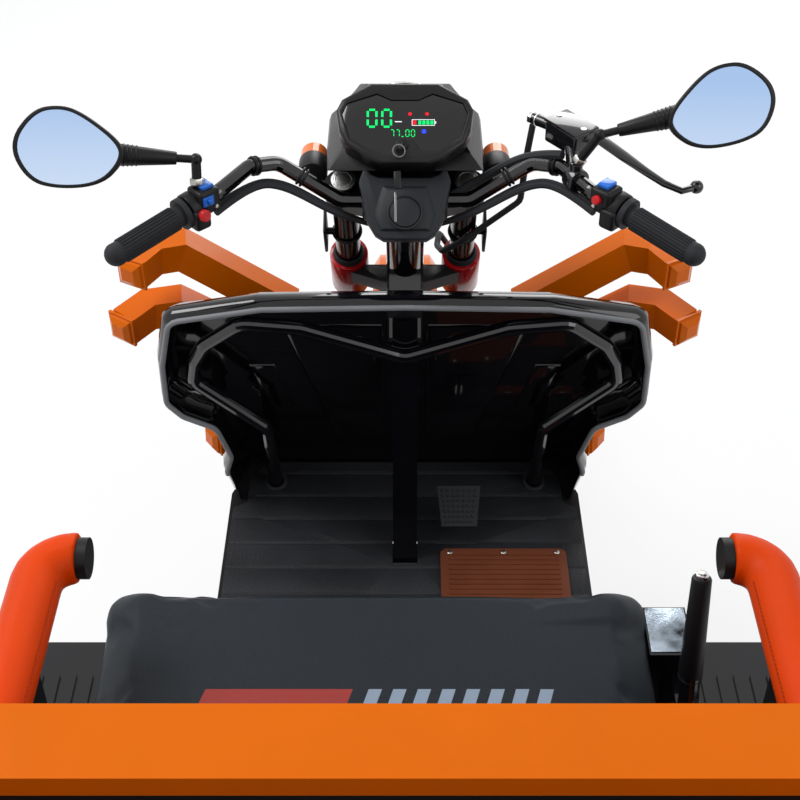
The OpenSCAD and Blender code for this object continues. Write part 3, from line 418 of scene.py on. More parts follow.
fields = []
for corners, inset, high in (
    (((0.033, -0.143), (0.125, -0.143), (0.200, 0.166), (0.033, 0.166)), 0.016, 0.007),
    (((0.190, -0.060), (0.236, -0.060), (0.262, 0.060), (0.216, 0.060)), 0.008, 0.005),
):
    middle_x = (corners[0][0] + corners[2][0]) / 2
    middle_up = (corners[0][1] + corners[2][1]) / 2
    for side in (-1, 1):
        rings = []
        for share, out in ((0, -0.001), (0.25, high * 0.6), (1, high)):
            ring = []
            for x, up in corners:
                inner_x = x - math.copysign(inset * share, x - middle_x)
                inner_up = up - math.copysign(inset * share, up - middle_up)
                ring.append(on_wall(side * inner_x, inner_up, out))
            rings.append(ring)
        fields.append(rounded(moulded(rings), 0.004, 3))
tub = sagged(copy_of("leg_shield", "shield_moulding"))
shield = built("shield_moulding", [tub] + fields, "chassis", shield_black)
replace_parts(shield, "leg_shield")
bead = sagged(copy_of("shield_rim", "shield_bead"))
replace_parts(built("shield_bead", [bead], "chassis", trim_grey), "shield_rim")
seal = [block(on_wall(0, 0.168, -0.003), (0.066, 0.004, 0.112), edge=0.001, turn=(wall_lean, 0, 0))]
built("spine_seal", seal, "chassis", rubber_black)
knee_foot_x = 0.232
knee_foot_station = 0.971
knee_collars = []
for side in (-1, 1):
    foot = at(side * knee_foot_x, knee_foot_station, mat_top + 0.002)
    knee_collars.append(hoop(foot, (0, -0.24, 1), 0.0165, 0.0045))
built("knee_bar_collars", knee_collars, "chassis", rubber_black)

# Front guard. Square tubes are mitred, welded and enamelled orange, with bevelled plugs in
# their ends and hexagon bolts on the lower beam.
def bolt(place, axis, across=0.013, high=0.006):
    """A hexagon bolt with its washer."""
    axis = Vector(axis).normalized()
    place = Vector(place)
    return [
        rod(place, place + axis * 0.0015, across * 0.95, sides=24),
        rod(place + axis * 0.0015, place + axis * high, across / 1.73, edge=0.0006, sides=6),
    ]


orange = enamel(
    "orange_enamel", (0.66, 0.125, 0.0), 0.2, coat=0.05, shine=0.1, cloud=0.03, grain=0.012, grain_size=240,
)
wear(orange, "front_guard", "guard_plugs")
guard_bolts = []
for x in (-0.13, -0.09, 0.09, 0.13):
    guard_bolts += bolt(at(x, 1.058, 0.335), (0, 1, 0))
built("guard_bolts", guard_bolts, "chassis", zinc)

# Brake pedal. A rubber pad with raised studs is pushed over the steel pedal's face.
wear(rubber_black, "brake_pedal")
pedal_middle = at(0.092, 0.851, 0.43)
pedal_tilt = math.radians(35)
pedal_normal = Vector((0, -math.sin(pedal_tilt), math.cos(pedal_tilt)))
pedal_up = Vector((0, math.cos(pedal_tilt), math.sin(pedal_tilt)))
pedal_face = pedal_middle + pedal_normal * 0.009
pedal_studs = []
for k in range(-3, 4):
    for j in range(-3, 4):
        place = pedal_face + pedal_up * (k * 0.009) + Vector((j * (0.0083 + 0.0004 * k), 0, 0))
        pedal_studs.append(rod(place, place + pedal_normal * 0.0018, 0.0028, sides=8, end_radius=0.002))
built("pedal_tread", pedal_studs, "chassis", rubber_black)

# Seat box. A folded sheet box in gloss black, its lid pressed with ribs beside the cushion, and
# a key lock in its front. The battery inside is a sealed plastic case.
seat_black = enamel("seat_box_black", (0.004, 0.004, 0.006), 0.14, coat=0.5, grain=0.03, grain_size=60)
wear(seat_black, "seat_box")
wear(enamel("battery_case", (0.05, 0.05, 0.06), 0.5, grain=0.2), "battery_pack")
box_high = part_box("seat_box")[1]
lock_place = Vector((0.36, box_high.y, 0.62))
lock = [
    rod(lock_place, lock_place + Vector((0, 0.004, 0)), 0.014, edge=0.001, sides=32),
    rod(lock_place, lock_place + Vector((0, 0.0065, 0)), 0.009, edge=0.001, sides=32),
]
built("seat_box_lock", lock, "chassis", zinc)
panel_gap_x = 0.33
lid_lines = [
    block(((-1) ** k * panel_gap_x, box_high.y + 0.0008, 0.55), (0.004, 0.002, 0.26), edge=0.0006)
    for k in range(2)
]
lid_lines.append(block((0, box_high.y + 0.0008, 0.67), (0.94, 0.002, 0.004), edge=0.0006))
built("seat_box_beads", lid_lines, "chassis", seat_black)

# Seat cushion. Foam under a charcoal leathercloth cover, crowned on top, with a red panel and
# slanted grey bars printed across its rear half.
def stuffed(piece, voxel, pressure, cap, floor_z=None, frames=20, shrink=1.0):
    """Remeshes a pad and blows it up from inside, as its foam does, no point moving past the cap."""
    bpy.context.view_layer.objects.active = piece
    remesh = piece.modifiers.new("remesh", "REMESH")
    remesh.mode = "VOXEL"
    remesh.voxel_size = voxel
    bpy.ops.object.modifier_apply(modifier="remesh")
    smooth = piece.modifiers.new("smooth", "SMOOTH")
    smooth.factor = 0.5
    smooth.iterations = 4
    bpy.ops.object.modifier_apply(modifier="smooth")
    middle = sum((v.co for v in piece.data.vertices), Vector()) / len(piece.data.vertices)
    for vertex in piece.data.vertices:
        vertex.co = middle + (vertex.co - middle) * shrink
    rest = [vertex.co.copy() for vertex in piece.data.vertices]
    cloth = piece.modifiers.new("cloth", "CLOTH")
    cloth.settings.quality = 6
    cloth.settings.mass = 0.3
    cloth.settings.tension_stiffness = 12
    cloth.settings.compression_stiffness = 12
    cloth.settings.shear_stiffness = 4
    cloth.settings.bending_stiffness = 0.6
    cloth.settings.use_pressure = True
    cloth.settings.uniform_pressure_force = pressure
    cloth.settings.effector_weights.gravity = 0
    cloth.point_cache.frame_start = 1
    cloth.point_cache.frame_end = frames
    for step in range(1, frames + 1):
        bpy.context.scene.frame_set(step)
    bpy.ops.object.modifier_apply(modifier="cloth")
    for vertex, start in zip(piece.data.vertices, rest):
        moved = vertex.co - start
        if moved.length > cap:
            vertex.co = start + moved * (cap / moved.length)
        if floor_z is not None:
            vertex.co.z = max(vertex.co.z, floor_z)
    finer = piece.modifiers.new("finer", "SUBSURF")
    finer.levels = 1
    finer.render_levels = 1
    bpy.ops.object.modifier_apply(modifier="finer")
    return piece


def hide_grain(material, cell=0.0016, depth=0.35):
    """Presses a leather grain of small uneven cells into a finish."""
    nodes, links = material.node_tree.nodes, material.node_tree.links
    cells = nodes.new("ShaderNodeTexVoronoi")
    cells.feature = "DISTANCE_TO_EDGE"
    cells.inputs["Scale"].default_value = 1 / cell
    creases = nodes.new("ShaderNodeMapRange")
    creases.inputs["From Max"].default_value = 0.18
    press = nodes.new("ShaderNodeBump")
    press.inputs["Strength"].default_value = depth
    press.inputs["Distance"].default_value = 0.0004
    place = nodes.new("ShaderNodeTexCoord")
    links.new(place.outputs["Object"], cells.inputs["Vector"])
    links.new(cells.outputs["Distance"], creases.inputs["Value"])
    links.new(creases.outputs["Result"], press.inputs["Height"])
    links.new(nodes["bump"].outputs["Normal"], press.inputs["Normal"])
    links.new(press.outputs["Normal"], nodes["Principled BSDF"].inputs["Normal"])
    return material


def printed(material, colour, lines, x_range, pitch=None, width=None):
    """Prints a slanted panel, or a row of slanted bars, on the top of a pad."""
    nodes, links = material.node_tree.nodes, material.node_tree.links
    shader = nodes["Principled BSDF"]
    under = shader.inputs["Base Color"].links[0].from_socket

    def reckoned(kind, first, second):
        node = nodes.new("ShaderNodeMath")
        node.operation = kind
        for socket, value in zip(node.inputs, (first, second)):
            if isinstance(value, (int, float)):
                socket.default_value = value
            else:
                links.new(value, socket)
        return node.outputs[0]

    place = nodes.new("ShaderNodeTexCoord")
    split = nodes.new("ShaderNodeSeparateXYZ")
    links.new(place.outputs["Object"], split.inputs[0])
    front, rear, slant = lines
    back = reckoned("SUBTRACT", split.outputs["Y"], front)
    across = reckoned("SUBTRACT", split.outputs["X"], reckoned("MULTIPLY", back, slant))
    past_left = reckoned("GREATER_THAN", across, x_range[0])
    inside = reckoned("MULTIPLY", past_left, reckoned("LESS_THAN", across, x_range[1]))
    behind_front = reckoned("LESS_THAN", back, 0.0)
    depth = reckoned("MULTIPLY", behind_front, reckoned("GREATER_THAN", back, rear - front))
    inside = reckoned("MULTIPLY", inside, depth)
    if pitch:
        share = reckoned("MODULO", reckoned("SUBTRACT", across, x_range[0]), pitch)
        inside = reckoned("MULTIPLY", inside, reckoned("LESS_THAN", share, width))
    ink = nodes.new("ShaderNodeMix")
    ink.data_type = "RGBA"
    links.new(inside, ink.inputs["Factor"])
    links.new(under, ink.inputs["A"])
    ink.inputs["B"].default_value = (*colour, 1)
    links.new(ink.outputs["Result"], shader.inputs["Base Color"])
    return material


seat_charcoal = (0.0065, 0.0105, 0.0155)
seat_skin = enamel("seat_skin", seat_charcoal, 0.36, shine=0.15, grain=0.12, cloud=0.1, cloud_size=5)
hide_grain(seat_skin)
print_front = at(0, 0.180, 0).y
print_rear = at(0, 0.105, 0).y
print_slant = 0.29
print_lines = (print_front, print_rear, print_slant)
printed(seat_skin, (0.30, 0.035, 0.028), print_lines, (-0.2324, -0.0608))
printed(seat_skin, (0.24, 0.30, 0.38), print_lines, (-0.0422, 0.178), pitch=0.0286, width=0.0155)
cushion = copy_of("seat_cushion", "cushion_pad")
cushion_low, cushion_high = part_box("seat_cushion")
stuffed(cushion, 0.006, 2.4, 0.008, floor_z=cushion_low.z)
cushion_middle = (cushion_low + cushion_high) / 2
cushion_half = (cushion_high - cushion_low) / 2
crown, corner_push, top_push, front_push, edge_push = 0.006, 0.013, 0.008, 0.007, 0.008
pressed_height = 0.03
for vertex in cushion.data.vertices:
    side = (vertex.co.x - cushion_middle.x) / cushion_half.x
    ahead = (vertex.co.y - cushion_middle.y) / cushion_half.y
    if vertex.co.z > cushion_low.z + pressed_height:
        vertex.co.z += crown * (1 - side * side)
        top = min(1.0, (vertex.co.z - cushion_low.z - pressed_height) / 0.04)
        vertex.co.x += math.copysign(top_push * top * max(0.0, abs(side) - 0.8) / 0.2, side)
    corner = max(0.0, abs(side) - 0.8) / 0.2 * max(0.0, abs(ahead) - 0.7) / 0.3
    vertex.co.x += math.copysign(corner_push * corner, side)
    vertex.co.y += math.copysign(corner_push * corner, ahead)
    if ahead > 0.2:
        vertex.co.y += front_push * min(1.0, (ahead - 0.2) / 0.3)
    lift = min(1.0, max(0.0, (vertex.co.z - cushion_low.z - pressed_height) / 0.04))
    near_front = min(1.0, max(0.0, (ahead - 0.65) / 0.3))
    near_side = min(1.0, max(0.0, (abs(side) - 0.8) / 0.18))
    vertex.co.y += edge_push * lift * near_front
    vertex.co.z += edge_push * lift * (near_front * (1.5 - 1.2 * near_side) + 0.3 * near_side)
    vertex.co.y = min(vertex.co.y, cushion_high.y + 0.015)
    vertex.co.z = min(vertex.co.z, cushion_high.z + 0.012)
built("cushion_pad", [cushion], "chassis", seat_skin, smooth=60)
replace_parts(cushion, "seat_cushion")
piping_from = (cushion_low.x + 0.02, cushion_high.y + 0.008, cushion_low.z + 0.014)
piping_to = (cushion_high.x - 0.02, cushion_high.y + 0.008, cushion_low.z + 0.014)
piping = [rod(piping_from, piping_to, 0.0022, sides=10)]
built("cushion_piping", piping, "chassis", rubber_black)

# Backrest. A foam pad on the bed's front, under the same cover as the seat and sewn into five
# channels.
backrest = copy_of("backrest", "backrest_pad")
rest_low, rest_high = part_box("backrest")
stuffed(backrest, 0.006, 2.5, 0.008, shrink=0.985)
channel_count, channel_depth, channel_width = 5, 0.008, 0.006
channel_pitch = (rest_high.x - rest_low.x) / channel_count
for vertex in backrest.data.vertices:
    share = ((vertex.co.x - rest_low.x) / channel_pitch) % 1.0
    near = min(share, 1 - share) * channel_pitch
    ends = min(vertex.co.x - rest_low.x, rest_high.x - vertex.co.x)
    if vertex.co.y > rest_low.y + 0.02 and ends > channel_pitch * 0.4:
        vertex.co.y -= channel_depth * math.exp(-(near / channel_width) ** 2)
back_charcoal = (0.008, 0.0115, 0.0155)
back_skin = hide_grain(enamel("back_skin", back_charcoal, 0.36, shine=0.17, grain=0.12, cloud=0.1))
built("backrest_pad", [backrest], "chassis", back_skin, smooth=60)
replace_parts(backrest, "backrest")

# Armrests. Foam rolls in orange leathercloth, each closed by a stitched seam along its inner
# side and held by a steel strut that is bolted to the seat box.
arm_skin = enamel("arm_skin", (0.66, 0.05, 0.0), 0.4, shine=0.1, grain=0.1, cloud=0.05)
hide_grain(arm_skin, depth=0.25)
arms = copy_of("armrests", "armrest_pads")
stuffed(arms, 0.0045, 2.0, 0.004)
built("armrest_pads", [arms], "chassis", arm_skin, smooth=60)
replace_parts(arms, "armrests")
black_plastic = enamel("black_plastic", (0.007, 0.007, 0.008), 0.42, grain=0.15)
wear(black_plastic, "armrest_mounts")
arm_thread = enamel("arm_thread", (0.35, 0.03, 0.002), 0.8, grain=0.3)
seams = []
arm_seam_x, arm_seam_z = 0.3865, 0.944
for side in (-1, 1):
    seam_from = at(side * arm_seam_x, 0.02, arm_seam_z)
    seam_to = at(side * arm_seam_x, 0.215, arm_seam_z)
    seams.append(stitches(seam_from, seam_to, 0.006, 0.004, 0.0006))
built("armrest_seams", seams, "chassis", arm_thread)
strut_bolts = []
for side in (-1, 1):
    for station in (0.08, 0.14):
        strut_bolts += bolt(at(side * 0.414, station, 0.702), (0, 0, 1))
built("armrest_bolts", strut_bolts, "chassis", zinc)

# Parking brake. A steel lever under a tapered black grip, with a silver release button, stands
# in a gloss console beside the seat.
wear(seat_black, "parking_brake")
grip_low, grip_high = at(0.3425, 0.222, 0.765), at(0.346, 0.2635, 0.893)
grip_parts = [
    rod(grip_low, grip_high, 0.0148, edge=0.003, sides=32, end_radius=0.0118),
    rod(grip_low - Vector((0, 0, 0.012)), grip_low, 0.011, sides=24, end_radius=0.0148),
]
built("brake_lever_grip", grip_parts, "chassis", black_plastic)
lever_along = (grip_high - grip_low).normalized()
button = [
    rod(grip_high - lever_along * 0.002, grip_high + lever_along * 0.004, 0.0075, edge=0.001, sides=24),
    rod(grip_high + lever_along * 0.004, grip_high + lever_along * 0.0068, 0.0055, edge=0.0012, sides=24),
]
silver = enamel("silver", (0.75, 0.74, 0.72), 0.16, metallic=1.0)
built("brake_lever_button", button, "chassis", silver)
console_chrome = enamel(
    "console_chrome", (0.24, 0.28, 0.32), 0.22, metallic=1.0,
    cloud=0.96, cloud_size=34, grain=0.35, grain_size=420,
)
console_lid = [block(at(0.327, 0.2965, 0.7607), (0.050, 0.071, 0.0014), edge=0.0005)]
built("console_lid", console_lid, "chassis", console_chrome)

# Cargo bed. Pressed sheet panels are welded into a frame of posts and folded rails, all
# enamelled orange, over black bearers and a dark steel floor.
wear(satin_black, "bed_bearers")
wear(orange, "bed_panels", "bed_frame")
floor_sheet = enamel(
    "floor_sheet", (0.035, 0.035, 0.038), 0.36, metallic=0.3, grain=0.3, cloud=0.35, cloud_size=6,
)
wear(floor_sheet, "bed_floor")
bed_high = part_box("bed_frame")[1]
rail_top = bed_high.z
screws = []
for side in (-1, 1):
    for k in range(6):
        screws += bolt((side * bed_high.x, bed_front - 0.12 - 0.28 * k, 0.627), (side, 0, 0), 0.012, 0.0055)
built("bed_side_bolts", screws, "chassis", zinc)

# Inner board. A sheet of dark hard board lies inside the bed's front, under the rail.
board_black = enamel("board_black", (0.01, 0.01, 0.011), 0.5, grain=0.3)
board = block((0, bed_front - 0.047, 0.81), (1.0, 0.004, 0.27), edge=0.001)
built("front_board", [board], "chassis", board_black)

# Tailgate. A framed panel hangs on three knuckles, and a latch on each side locks it to the
# bed's rear posts.
wear(orange, "tailgate")
gate_low, gate_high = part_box("tailgate")
latches = []
for side in (-1, 1):
    place = Vector((side * (gate_high.x - 0.03), gate_low.y - 0.0005, rail_top - 0.09))
    pivot = place + Vector((0, 0, -0.025))
    latches.append(block(place, (0.034, 0.005, 0.09), edge=0.0015))
    latches.append(rod(pivot, pivot + Vector((0, -0.006, 0)), 0.009, edge=0.001))
    latches.append(block(place + Vector((0, -0.006, 0.008)), (0.014, 0.008, 0.05), edge=0.003))
for part in latches:
    part.location.y += 0.008
built("tailgate_latches", latches, "tailgate", zinc)

# Rear mudguards and lamps. Moulded guards hang over the wheels, and each lamp has a red lens
# with three amber ribs and hangs from a short bracket.
wear(black_plastic, "rear_fenders")
wear(enamel("red_lens", (0.55, 0.008, 0.006), 0.1, coat=0.6), "tail_lamps")
amber = enamel("amber_lens", (0.85, 0.17, 0.004), 0.12, coat=0.6)
lamp_low, lamp_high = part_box("tail_lamps")
lamp_parts = []
for side in (-1, 1):
    for k in range(3):
        lamp_parts.append(block(
            (side * 0.425 + side * 0.012 * k, lamp_low.y - 0.0008, 0.57), (0.008, 0.004, 0.05), edge=0.0015,
        ))
built("tail_lamp_amber", lamp_parts, "chassis", amber)
brackets = []
for side in (-1, 1):
    brackets.append(block((side * 0.45, lamp_high.y + 0.012, 0.585), (0.03, 0.03, 0.06), edge=0.002))
built("tail_lamp_brackets", brackets, "chassis", satin_black)

# Rear axle. The cast beam carries the finned motor and gear case with a ring of bolts, and
# U-bolts with plates clamp it to the leaf packs.
cast_iron = enamel("cast_iron", (0.06, 0.062, 0.066), 0.55, metallic=0.4, grain=0.5, grain_size=250)
wear(cast_iron, "rear_axle")
wear(satin_black, "leaf_springs")
axle_middle = at(0, -0.8, 0.255)
fin_count, fin_pitch, fin_first = 8, 0.0254, -0.045
fins = []
for k in range(fin_count):
    x = fin_first + fin_pitch * k
    fins.append(hoop(axle_middle + Vector((x, 0.19, 0.06)), (1, 0, 0), 0.0795, 0.0022, sides=64, section=8))
built("motor_fins", fins, "chassis", cast_iron)
case_bolt_count, plate_bolt_count = 8, 6
case_bolts = []
for k in range(case_bolt_count):
    turn = math.radians(360 / case_bolt_count * k + 22)
    place = axle_middle + Vector((0.095, 0.062 * math.cos(turn), 0.062 * math.sin(turn)))
    case_bolts += bolt(place, (1, 0, 0), 0.011, 0.006)
for side in (-1, 1):
    for k in range(plate_bolt_count):
        turn = math.radians(360 / plate_bolt_count * k)
        place = axle_middle + Vector((side * 0.369, 0.085 * math.cos(turn), 0.085 * math.sin(turn)))
        case_bolts += bolt(place, (-side, 0, 0), 0.011, 0.006)
built("axle_bolts", case_bolts, "chassis", zinc)
clamps = []
for side in (-1, 1):
    for off in (-0.028, 0.028):
        for dx in (-0.03, 0.03):
            foot = axle_middle + Vector((side * 0.24 + dx, off, -0.045))
            clamps.append(rod(foot, foot + Vector((0, 0, 0.14)), 0.0045, sides=12))
            clamps += bolt(foot + Vector((0, 0, 0.01)), (0, 0, -1), 0.013, 0.009)
        middle = axle_middle + Vector((side * 0.24, off, 0.095))
        clamps.append(rod(middle - Vector((0.03, 0, 0)), middle + Vector((0.03, 0, 0)), 0.0045, sides=12))
    plate = axle_middle + Vector((side * 0.24, 0, -0.04))
    clamps.append(block(plate, (0.074, 0.08, 0.006), edge=0.001))
built("spring_u_bolts", clamps, "chassis", zinc)

# Front fork. Cast yokes clamp two dark-chromed tubes with round caps. Red sleeves with rubber
# wipers stand above grey cast legs with chromed collars, between black plates and orange tabs.
head_station, head_height, head_rake = 0.925, 0.985, math.radians(27)


def on_head(x, ahead, down):
    """A place that counts forwards from the steering axis and down along it."""
    station = head_station + ahead * math.cos(head_rake) + down * math.sin(head_rake)
    height = head_height + ahead * math.sin(head_rake) - down * math.cos(head_rake)
    return at(x, station, height)


head_down = on_head(0, 0, 1) - on_head(0, 0, 0)
head_ahead = Vector((0, math.cos(head_rake), math.sin(head_rake)))
leg_x, leg_ahead = 0.092, 0.035


def on_leg(side, down):
    """A place on the middle line of a fork leg."""
    return on_head(side * leg_x, leg_ahead, down)


dark_chrome = enamel("dark_chrome", (0.055, 0.054, 0.056), 0.13, metallic=1.0, cloud=0.15, cloud_size=14)
yokes = copy_of("fork_yokes", "cast_yokes")
lower_yoke_down, bridge_ahead = 0.21, 0.018
for vertex in yokes.data.vertices:
    away = vertex.co - on_head(0, 0, 0)
    down = away.dot(head_down)
    ahead = away.dot(head_ahead)
    if down > lower_yoke_down and ahead > bridge_ahead and abs(away.x) < 0.1:
        vertex.co += head_ahead * (bridge_ahead - ahead)
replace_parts(built("cast_yokes", [yokes], "fork", satin_black), "fork_yokes")
wear(dark_chrome, "fork_tubes")
red_enamel = enamel("red_enamel", (0.43, 0.002, 0.006), 0.24, coat=0.4, cloud=0.2, cloud_size=30)
leg_grey = enamel("leg_grey", (0.1, 0.1, 0.105), 0.4, metallic=0.7, grain=0.25, grain_size=300)
wear(leg_grey, "fork_legs")
sleeves, tubes, wipers, collars, caps = [], [], [], [], []
for side in (-1, 1):
    wipers.append(rod(on_leg(side, 0.199), on_leg(side, 0.2068), 0.0225, sides=40, end_radius=0.0262))
    wipers.append(hoop(on_leg(side, 0.199), head_down, 0.022, 0.0022))
    sleeves.append(rod(on_leg(side, 0.207), on_leg(side, 0.301), 0.0315, edge=0.002, sides=64))
    sleeves.append(rod(on_leg(side, 0.300), on_leg(side, 0.312), 0.0275, edge=0.001, sides=64))
    tubes.append(rod(on_leg(side, 0.250), on_leg(side, 0.406), 0.0202, sides=64))
    collars.append(hoop(on_leg(side, 0.4005), head_down, 0.0225, 0.0032))
    collars.append(rod(on_leg(side, 0.4035), on_leg(side, 0.413), 0.0258, edge=0.001, sides=48))
    caps.append(rod(on_leg(side, -0.012), on_leg(side, -0.0175), 0.0185, edge=0.001, sides=40))
    caps.append(hoop(on_leg(side, -0.0172), head_down, 0.0125, 0.001, sides=32, section=8))
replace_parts(built("red_sleeves", sleeves, "fork", red_enamel), "fork_sleeves")
built("sliding_tubes", tubes, "fork", dark_chrome)
built("fork_wipers", wipers, "fork", rubber_black)
built("fork_collars", collars, "fork", dark_chrome)
cap_metal = enamel("cap_metal", (0.32, 0.32, 0.31), 0.34, metallic=1.0, grain=0.4, grain_size=260)
built("fork_caps", caps, "fork", cap_metal)
plates = []
for side in (-1, 1):
    x = side * (leg_x + 0.034)
    middle = on_head(x, leg_ahead, 0.135)
    plates.append(block(middle, (0.005, 0.042, 0.066), edge=0.0022, turn=(head_rake, 0, 0)))
    near = on_head(side * (leg_x + 0.021), leg_ahead, 0.135)
    plates.append(rod(near - Vector((side * 0.004, 0, 0)), middle, 0.006, sides=16))
    plates.append(hoop(on_leg(side, 0.135), head_down, 0.0215, 0.0028, sides=40))
built("fork_side_plates", plates, "fork", black_plastic)
orange_tabs = []
for x, ahead, down, wide in ((-0.031, -0.004, 0.045, 0.013), (0.036, 0.004, 0.042, 0.024)):
    face, tip = on_head(x, ahead, down), on_head(x, ahead + 0.008, down - 0.012)
    orange_tabs.append(block(face, (wide, 0.005, 0.022), edge=0.0012, turn=(0.75, 0, 0.3)))
    orange_tabs.append(block(tip, (wide * 0.7, 0.004, 0.02), edge=0.001, turn=(0.2, 0, 0)))
built("lamp_tabs", orange_tabs, "fork", orange)

# Front brake. A plain rubber hose runs from the bar to a cast caliper, whose two bolts hold it
# to the leg.
wear(rubber_black, "brake_hose")
cast_alloy = enamel("cast_alloy", (0.3, 0.3, 0.31), 0.45, metallic=0.8, grain=0.5, grain_size=220)
wear(cast_alloy, "brake_caliper")
caliper_low, caliper_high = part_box("brake_caliper")
caliper_middle = (caliper_low + caliper_high) / 2
caliper_bolts = []
for up in (-0.018, 0.018):
    place = (caliper_low.x + 0.001, caliper_middle.y + up, caliper_middle.z + up)
    caliper_bolts += bolt(place, (-1, 0, 0), 0.011, 0.006)
built("caliper_bolts", caliper_bolts, "fork", zinc)

# Front mudguard. A pressed steel guard in the bed's orange, bolted to a stay on each leg.
wear(orange, "front_fender")
guard_place = at(0, 1.3643, 0.255)
stay_bolts = []
for side in (-1, 1):
    place = guard_place + Vector((side * 0.0635, -0.15, 0.262))
    stay_bolts.append(rod(place, place + Vector((side * 0.003, 0, 0)), 0.006, edge=0.0008, sides=6))
built("fender_bolts", stay_bolts, "fork", zinc)

# Handlebar. One bent tube in dark chrome. Its cables run along it under straps, and the grips
# are rubber, ribbed lengthwise, with a rounded end.
wear(dark_chrome, "handlebar")
wear(rubber_black, "grips")
bar_end, bar_knee = at(0.392, 0.722, 1.034), at(0.262, 0.843, 1.060)
bar_out = (bar_end - bar_knee).normalized()
grip_length = 0.118


def on_bar(side, inwards, up=0.0, behind=0.0):
    """A place along the straight end of the bar, counted inwards from its end."""
    level = Vector((0, 0, 1))
    back = bar_out.cross(level).normalized()
    place = bar_end - bar_out * inwards + level * up + back * behind
    return Vector((side * place.x, place.y, place.z))


def on_pod(side, inwards, up=0.0, behind=0.0):
    """A place on a switch housing, counted inwards from the grip."""
    return on_bar(side, grip_length + inwards, up, behind)


def bar_direction(side):
    return Vector((side * bar_out.x, bar_out.y, bar_out.z))


rib_count, rib_circle = 24, 0.0166
grip_ribs = []
for side in (-1, 1):
    across_bar = bar_direction(side).cross(Vector((0, 0, 1))).normalized() * rib_circle
    for k in range(rib_count):
        around = Matrix.Rotation(2 * math.pi * k / rib_count, 3, bar_direction(side)) @ across_bar
        grip_ribs.append(rod(on_bar(side, 0.010) + around, on_bar(side, 0.1) + around, 0.0011, sides=8))
    grip_ribs.append(ball(on_bar(side, 0.001), 0.0165))
built("grip_ribs", grip_ribs, "fork", rubber_black)
straps = []
for side in (-1, 1):
    for place, axis, big in (
        (at(side * 0.218, 0.909, 1.062), (0.6 * side, -0.5, 0.2), 0.0125),
        (at(side * 0.150, 0.9205, 1.037), (0.85 * side, 0.2, 0.48), 0.0125),
    ):
        for off in (-0.003, 0.003):
            middle = place + Vector(axis).normalized() * off
            straps.append(hoop(middle, axis, big, 0.0022, sides=32, section=8))
built("bar_straps", straps, "fork", black_plastic)


def cable(points, radius, sides=10):
    """A round cable bent smoothly through its points."""
    bpy.ops.object.select_all(action="DESELECT")
    bpy.ops.curve.primitive_nurbs_path_add(location=(0, 0, 0))
    line = bpy.context.object
    spline = line.data.splines[0]
    if len(points) > len(spline.points):
        spline.points.add(len(points) - len(spline.points))
    for point, place in zip(spline.points, points):
        point.co = (*place, 1)
    for point in list(spline.points)[len(points):]:
        point.co = (*points[-1], 1)
    spline.order_u = 4
    spline.use_endpoint_u = True
    line.data.bevel_depth = radius
    line.data.bevel_resolution = max(1, sides // 4)
    line.data.resolution_u = 8
    line.data.use_fill_caps = True
    bpy.ops.object.convert(target="MESH")
    return bpy.context.object


looms = []
for side in (-1, 1):
    for off in (0.0, 0.009):
        looms.append(cable([
            on_bar(side, 0.162, -0.017 - off * 0.3, 0.004 + off),
            at(side * 0.222, 0.892 - off, 1.046),
            at(side * 0.190, 0.914 - off, 1.036),
            at(side * 0.150, 0.910 - off, 1.018),
            at(side * 0.100, 0.896 - off * 0.6, 0.991),
            at(side * 0.068, 0.905, 0.972),
            at(side * 0.056, 0.925, 0.955),
        ], 0.0052))
looms.append(cable([
    at(0.060, 0.918, 1.0), at(0.092, 0.934, 1.012), at(0.128, 0.938, 1.033),
    at(0.168, 0.940, 1.058), at(0.198, 0.925, 1.072), at(0.226, 0.905, 1.082),
], 0.007))
built("cable_looms", looms, "fork", rubber_black)

# Switch housings. Each is a moulding round the bar beside a collar, with two small screws and
# coloured switches.
switch_blue = enamel("switch_blue", (0.01, 0.14, 0.62), 0.3, coat=0.3)
switch_red = enamel("switch_red", (0.62, 0.01, 0.014), 0.3, coat=0.3)
right_yaw = math.atan2(bar_out.y, bar_out.x)


def pod_block(side, inwards, up, behind, size, edge=0.0015, steps=2):
    """A block that lies square to a switch housing."""
    yaw = right_yaw if side > 0 else math.pi - right_yaw
    return block(on_pod(side, inwards, up, behind), size, edge=edge, turn=(0, 0, yaw), steps=steps)


pods, pod_screws = [], []
for side in (-1, 1):
    pods.append(rod(on_pod(side, 0.003), on_pod(side, 0.019), 0.024, edge=0.002, sides=48))
    pods.append(rod(on_pod(side, 0.0195), on_pod(side, 0.0415), 0.020, edge=0.002, sides=48))
    pods.append(pod_block(side, 0.0305, 0.010, 0.006, (0.034, 0.034, 0.034), edge=0.005, steps=3))
    pods.append(pod_block(side, 0.013, -0.009, 0.013, (0.026, 0.030, 0.030), edge=0.005, steps=3))
    for inwards in (0.022, 0.039):
        head, top = on_pod(side, inwards, -0.001, 0.0225), on_pod(side, inwards, -0.001, 0.0245)
        pod_screws.append(rod(head, top, 0.003, edge=0.0006))
blue_parts = [
    pod_block(-1, 0.033, 0.0285, 0.003, (0.019, 0.026, 0.006)),
    pod_block(-1, 0.026, 0.014, 0.0235, (0.018, 0.004, 0.014)),
    pod_block(-1, 0.026, 0.014, 0.027, (0.006, 0.006, 0.008)),
    pod_block(1, 0.033, 0.0285, 0.003, (0.018, 0.022, 0.006)),
]
red_parts = [
    rod(on_pod(-1, 0.013, 0.0, 0.026), on_pod(-1, 0.013, 0.002, 0.034), 0.0085, edge=0.0015),
    rod(on_pod(1, 0.033, 0.012, 0.021), on_pod(1, 0.033, 0.014, 0.030), 0.0065, edge=0.0015),
]
